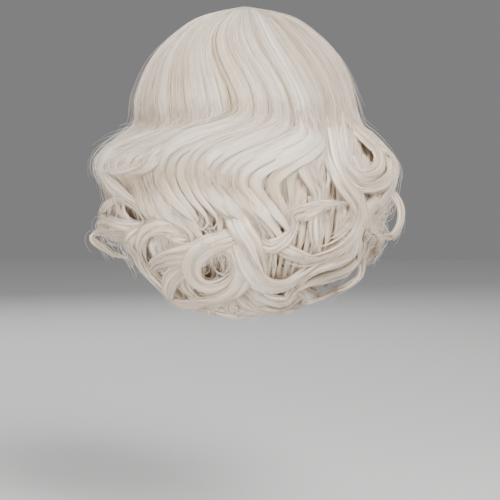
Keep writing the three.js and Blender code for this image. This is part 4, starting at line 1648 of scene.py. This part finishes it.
@dataclass
class Studio:
    """Plain floor, soft lights and the camera behind the wig."""

    target: tuple[float, float, float] = (0, 0, -0.126)
    distance: float = 1.7
    azimuth: float = 180
    elevation: float = 2
    lens: float = 140.7
    shift: tuple[float, float] = (0.008, -0.162)
    floor_level: float = -0.45
    floor_size: float = 6
    floor_colour: tuple[float, float, float] = (0.62, 0.61, 0.60)
    world: tuple[float, float, float] = (0.22, 0.22, 0.225)
    lamps: tuple[Lamp, ...] = (
        Lamp("key", (-0.75, 1.6, 1.2), 0.9, 84),
        Lamp("fill", (1.2, 1.5, 0.0), 1.4, 40),
        Lamp("top", (0.0, 0.2, 1.6), 1.0, 14),
        Lamp("front", (0.4, -1.6, 0.7), 1.4, 14),
    )

    def build(self) -> None:
        """Builds the floor, the world, the lights and the camera."""
        self.build_floor()
        self.build_world()
        for lamp in self.lamps:
            self.add_light(lamp)
        self.build_camera()

    def build_floor(self) -> None:
        """Builds the plain pale floor."""
        bpy.ops.object.select_all(action="DESELECT")
        bpy.ops.mesh.primitive_plane_add(size=self.floor_size, location=(0, 0, 0))
        floor = bpy.context.object
        floor.name = "floor"
        bpy.ops.object.mode_set(mode="EDIT")
        bpy.ops.mesh.select_all(action="SELECT")
        bpy.ops.transform.translate(value=(0, 0, self.floor_level))
        bpy.ops.object.mode_set(mode="OBJECT")
        material = bpy.data.materials.new("pale_floor")
        material.use_nodes = True
        surface = material.node_tree.nodes["Principled BSDF"]
        surface.inputs["Base Color"].default_value = (*self.floor_colour, 1)
        surface.inputs["Roughness"].default_value = 0.8
        floor.data.materials.append(material)

    def build_world(self) -> None:
        """Sets the plain grey surroundings."""
        world = bpy.data.worlds.new("studio")
        world.use_nodes = True
        world.node_tree.nodes["Background"].inputs["Color"].default_value = (*self.world, 1)
        bpy.context.scene.world = world

    def add_light(self, lamp: Lamp) -> None:
        """Adds one soft light aimed at the wig.

        Args:
            lamp: The light to add.
        """
        bpy.ops.object.light_add(type="AREA", location=lamp.place)
        light = bpy.context.object
        light.name = lamp.name
        light.data.size = lamp.size
        light.data.energy = lamp.power
        aim = Vector(self.target) - Vector(lamp.place)
        light.rotation_euler = aim.to_track_quat("-Z", "Y").to_euler()

    def build_camera(self) -> None:
        """Adds the camera."""
        azimuth, elevation = math.radians(self.azimuth), math.radians(self.elevation)
        aim = Vector((math.sin(azimuth), math.cos(azimuth), 0)) * math.cos(elevation)
        aim.z = -math.sin(elevation)
        place = Vector(self.target) - aim * self.distance
        bpy.ops.object.camera_add(location=place)
        camera = bpy.context.object
        camera.name = "camera"
        camera.rotation_euler = aim.to_track_quat("-Z", "Y").to_euler()
        camera.data.lens = self.lens
        camera.data.sensor_width = 36
        camera.data.shift_x, camera.data.shift_y = self.shift
        bpy.context.scene.camera = camera


NET = ClothFinish("stretch_net", (0.46, 0.38, 0.29), (0.62, 0.54, 0.44), roughness=0.85, pitch=1.6 * MM)
TAPE = ClothFinish("elastic_tape", (0.50, 0.42, 0.33), (0.58, 0.50, 0.41), roughness=0.75, pitch=0.9 * MM)

# Ways in which crown locks end, named by the side that they curl to as seen from behind
LAID_RIGHT = Tail(((0.09, -25), (0.13, 75), (0.12, 95), (0.06, 50)))
LAID_LEFT = Tail(((0.09, 25), (0.13, -75), (0.12, -95), (0.06, -50)))
SHORT_LEFT = Tail(((0.08, -10), (0.08, -60)), sink=13.0)
SHORT_RIGHT = Tail(((0.08, 10), (0.08, 60)), sink=13.0)
TUCK_RIGHT = Tail(((0.1, -15), (0.12, 60), (0.12, 90), (0.06, 40)), sink=15.0)
TUCK_LEFT = Tail(((0.1, 15), (0.12, -60), (0.12, -90), (0.06, -40)), sink=13.0)
HOOK_LEFT = Tail(((0.06, -10), (0.08, -95), (0.07, -85)), sink=5.0)
LONG_RIGHT = Tail(((0.12, -15), (0.18, 55), (0.16, 80), (0.1, 60)))
LONG_LEFT = Tail(((0.12, 15), (0.18, -55), (0.16, -80), (0.1, -60)))

SECTIONS: tuple[SectionPlan, ...] = (
    SectionPlan(
        name="crown_back",
        start=-50,
        end=50,
        seed=11,
        crown=CrownPlan(30, 16, 12, (HOOK_LEFT, HOOK_LEFT, HOOK_LEFT, LAID_LEFT)),
        routes=(
            Route(
                (
                    (77, 82), (78, 101), (80, 118), (84, 132), (92, 144), (100, 156), (102, 169),
                    (97, 183), (86, 195), (71, 203), (51, 207), (37, 202),
                ),
                15, (-4, -1.5, -4),
            ),
            Route(
                (
                    (70, 90), (73, 109), (77, 125), (85, 139), (95, 151), (97, 163), (90, 177),
                    (78, 188), (63, 194),
                ),
                10, (-5, -3, -7),
            ),
            Route(
                (
                    (59, 85), (52, 103), (50, 118), (52, 129), (58, 139), (63, 148), (61, 156),
                    (54, 163), (44, 165),
                ),
                9, (-3, -1.5, -5),
            ),
            Route(
                (
                    (66, 85), (58, 103), (57, 114), (59, 125), (64, 136), (68, 146), (63, 160),
                ),
                8, (-3, -2, -6),
            ),
            Route(((40, 172), (47, 166), (57, 163), (70, 158), (84, 156), (97, 156)), 8, (-9, -3, -2)),
        ),
        flyaways=60,
    ),
    SectionPlan(
        name="crown_left",
        start=-104,
        end=-50,
        seed=12,
        crown=CrownPlan(16, 15, 8, (SHORT_RIGHT, TUCK_RIGHT)),
        routes=(
            Route(
                (
                    (-84, 82), (-84, 97), (-87, 109), (-97, 118), (-113, 122), (-124, 125), (-121, 136),
                    (-111, 147), (-97, 158), (-84, 168),
                ),
                13, (-8, -1, -6),
            ),
            Route(
                (
                    (-77, 87), (-77, 103), (-81, 115), (-90, 123), (-104, 126), (-115, 130),
                ),
                12, (-8, -1, -7),
            ),
            Route(
                (
                    (-104, 153), (-113, 152), (-120, 156), (-124, 163), (-121, 170), (-108, 172),
                    (-95, 175),
                ),
                3, (-6, 0, -3),
            ),
        ),
        flyaways=60,
    ),
    SectionPlan(
        name="crown_right",
        start=50,
        end=104,
        seed=13,
        crown=CrownPlan(16, 15, 8, (SHORT_LEFT, SHORT_LEFT, TUCK_LEFT)),
        routes=(
            Route(
                (
                    (90, 76), (96, 92), (104, 102), (113, 111), (116, 122), (109, 129), (97, 130),
                    (87, 127),
                ),
                12, (-4, 2, -3),
            ),
            Route(
                (
                    (89, 73), (94, 87), (104, 99), (117, 109), (125, 121), (124, 134), (113, 142),
                    (99, 143), (88, 139),
                ),
                15, (-4, 3, -2),
            ),
            Route(
                (
                    (90, 80), (99, 96), (113, 106), (126, 118), (130, 129), (126, 143), (120, 153),
                    (110, 163), (103, 176),
                ),
                13, (-4, 3, -3),
            ),
            Route(
                (
                    (85, 62), (84, 80), (83, 98), (85, 114), (91, 126), (101, 132), (112, 131),
                    (121, 122), (124, 108), (119, 96),
                ),
                11, (-8, 1, -6),
            ),
            Route(
                (
                    (79, 66), (79, 86), (79, 104), (82, 120), (89, 133), (101, 141), (115, 139),
                    (126, 128), (130, 113),
                ),
                12, (-8, 1, -5),
            ),
            Route(((124, 136), (117, 149), (109, 162), (104, 176), (99, 188)), 11, (-8, -4, -6)),
            Route(
                (
                    (122, 139), (129, 145), (133, 156), (134, 167), (132, 177), (127, 185), (118, 187),
                    (109, 183), (103, 178),
                ),
                4, (-6, 0, -4),
            ),
        ),
        flyaways=60,
    ),
    SectionPlan(
        name="fringe_left",
        start=-158,
        end=-104,
        seed=14,
        crown=CrownPlan(14, 12, 7, (LONG_RIGHT, LAID_RIGHT, LAID_LEFT)),
        flyaways=30,
        wisps=0,
    ),
    SectionPlan(
        name="fringe_right",
        start=104,
        end=202,
        seed=15,
        crown=CrownPlan(24, 10, 12, (LONG_LEFT, LAID_LEFT, LAID_RIGHT)),
        flyaways=30,
        wisps=0,
    ),
    SectionPlan(
        name="middle_left",
        start=-141,
        end=-44,
        seed=16,
        curtain=CurtainPlan(38, 19, -0.2, 0.62),
        fill=FillPlan(16, 0.36, 0.66, -12, 1.1, -0.25),
        routes=(
            Route(
                (
                    (-90, 177), (-103, 176), (-117, 172), (-125, 170), (-130, 175), (-126, 181),
                    (-117, 186), (-106, 189),
                ),
                9, (-8, -1, -4),
            ),
            Route(
                (
                    (-106, 184), (-120, 181), (-130, 181), (-135, 185), (-133, 190), (-125, 196),
                    (-117, 202), (-106, 206),
                ),
                5, (-8, -1, -4),
            ),
            Route(
                (
                    (-90, 176), (-97, 180), (-104, 188), (-104, 197), (-99, 207), (-90, 216),
                ),
                9, (-9, -2, -6),
            ),
            Route(
                (
                    (-52, 184), (-64, 178), (-77, 176), (-88, 181), (-93, 190), (-93, 202), (-89, 212),
                    (-80, 221),
                ),
                12, (-9, -1.5, -6),
            ),
            Route(((-52, 191), (-64, 186), (-75, 184), (-83, 189), (-85, 196)), 7, (-9, -4, -7)),
            Route(
                (
                    (-103, 196), (-97, 209), (-90, 220), (-80, 231), (-70, 241), (-57, 247),
                ),
                10, (-8, -5, -6),
            ),
        ),
        flyaways=50,
        wisps=11,
    ),
    SectionPlan(
        name="middle_back",
        start=-44,
        end=44,
        seed=17,
        curtain=CurtainPlan(44, 8.0, -0.2, 0.72),
        fill=FillPlan(14, 0.42, 0.68, -9),
        routes=(
            Route(
                (
                    (-14, 158), (-11, 168), (-5, 179), (4, 191), (11, 205), (16, 219), (14, 232),
                ),
                14, (-12, 0, -4),
            ),
            Route(
                (
                    (-10, 181), (-5, 196), (1, 212), (10, 225), (22, 231), (37, 230), (50, 222),
                    (66, 211), (82, 204),
                ),
                15, (-7, -1.5, -5),
            ),
            Route(
                (
                    (0, 183), (-16, 190), (-32, 194), (-44, 202), (-49, 213), (-45, 225), (-34, 232),
                    (-21, 229), (-12, 221), (-12, 209), (-18, 202), (-28, 204),
                ),
                13, (-6, -1.5, -6),
            ),
            Route(
                (
                    (-32, 211), (-31, 202), (-23, 197), (-14, 202), (-12, 211), (-17, 219), (-25, 220),
                    (-29, 214),
                ),
                6, (-6, -4, -6),
            ),
            Route(
                (
                    (-7, 188), (-3, 202), (-3, 216), (-7, 229), (-17, 238), (-30, 243), (-45, 243),
                    (-57, 238),
                ),
                13, (-8, -3, -6),
            ),
            Route(
                (
                    (-4, 180), (-16, 188), (-34, 197), (-51, 200), (-69, 202), (-82, 208), (-89, 217),
                ),
                12, (-8, -2.5, -5),
            ),
            Route(
                (
                    (-35, 202), (-49, 207), (-64, 209), (-78, 212), (-86, 219), (-84, 228),
                ),
                11, (-9, -4, -7),
            ),
            Route(
                (
                    (-44, 214), (-57, 216), (-67, 224), (-70, 235), (-66, 243), (-52, 247), (-33, 245),
                    (-16, 240),
                ),
                11, (-9, -3, -6),
            ),
            Route(((9, 188), (19, 195), (30, 191), (38, 183), (43, 174), (40, 165)), 7, (-7, -2, -4)),
        ),
        flyaways=60,
        wisps=9,
    ),
    SectionPlan(
        name="middle_right",
        start=44,
        end=141,
        seed=18,
        curtain=CurtainPlan(38, 9, -0.2, 0.62),
        fill=FillPlan(17, 0.24, 0.64, -11, 1.1, 0.25),
        routes=(
            Route(((26, 191), (33, 198), (45, 203), (61, 207), (78, 207)), 9, (-9, -3, -5)),
            Route(
                (
                    (104, 184), (99, 196), (90, 205), (77, 211), (63, 217), (52, 226), (45, 237),
                ),
                11, (-8, -2, -5),
            ),
            Route(
                (
                    (106, 193), (101, 207), (90, 216), (75, 223), (59, 228), (47, 235), (40, 244),
                ),
                10, (-8, -2.5, -6),
            ),
            Route(
                (
                    (110, 196), (104, 210), (100, 221), (90, 230), (78, 236), (64, 243), (52, 246),
                ),
                10, (-8, -3, -5),
            ),
            Route(((110, 179), (117, 186), (115, 196), (109, 203), (103, 210)), 3, (-6, -1, -3)),
            Route(((61, 149), (63, 165), (63, 181), (64, 195), (70, 207)), 9, (-7, -4, -7)),
        ),
        flyaways=50,
        wisps=11,
    ),
    SectionPlan(
        name="nape_curls",
        start=-60,
        end=60,
        seed=19,
        curtain=CurtainPlan(40, 18, 0.12, 0.82),
        fill=FillPlan(17, 0.6, 0.84, -12, 1.15),
        routes=(
            Route(
                (
                    (0, 231), (10, 240), (24, 245), (37, 246), (44, 238), (47, 226), (46, 216),
                ),
                12, (-10, -6, -9),
            ),
            Route(((-7, 236), (3, 248), (19, 255), (37, 256), (49, 250)), 10, (-12, -8, -10)),
            Route(((-17, 236), (-28, 245), (-42, 251), (-54, 250)), 10, (-12, -8, -10)),
            Route(((50, 236), (63, 244), (78, 240), (90, 231)), 8, (-12, -8, -9)),
        ),
        flyaways=60,
    ),
)


def main() -> None:
    logging.basicConfig(level=logging.INFO, format="%(name)s: %(message)s")
    head = HeadForm()
    streaks, weave = streak_group(), weave_group()
    hair = HairFinish().material(streaks)
    Cap(head, NET.material(weave), TAPE.material(weave)).build()
    for plan in SECTIONS:
        piece = HairSection(head, plan, StrandLook()).build()
        dress(piece, hair, (plan.name,))
    Studio().build()


if __name__ == "__main__":
    main()
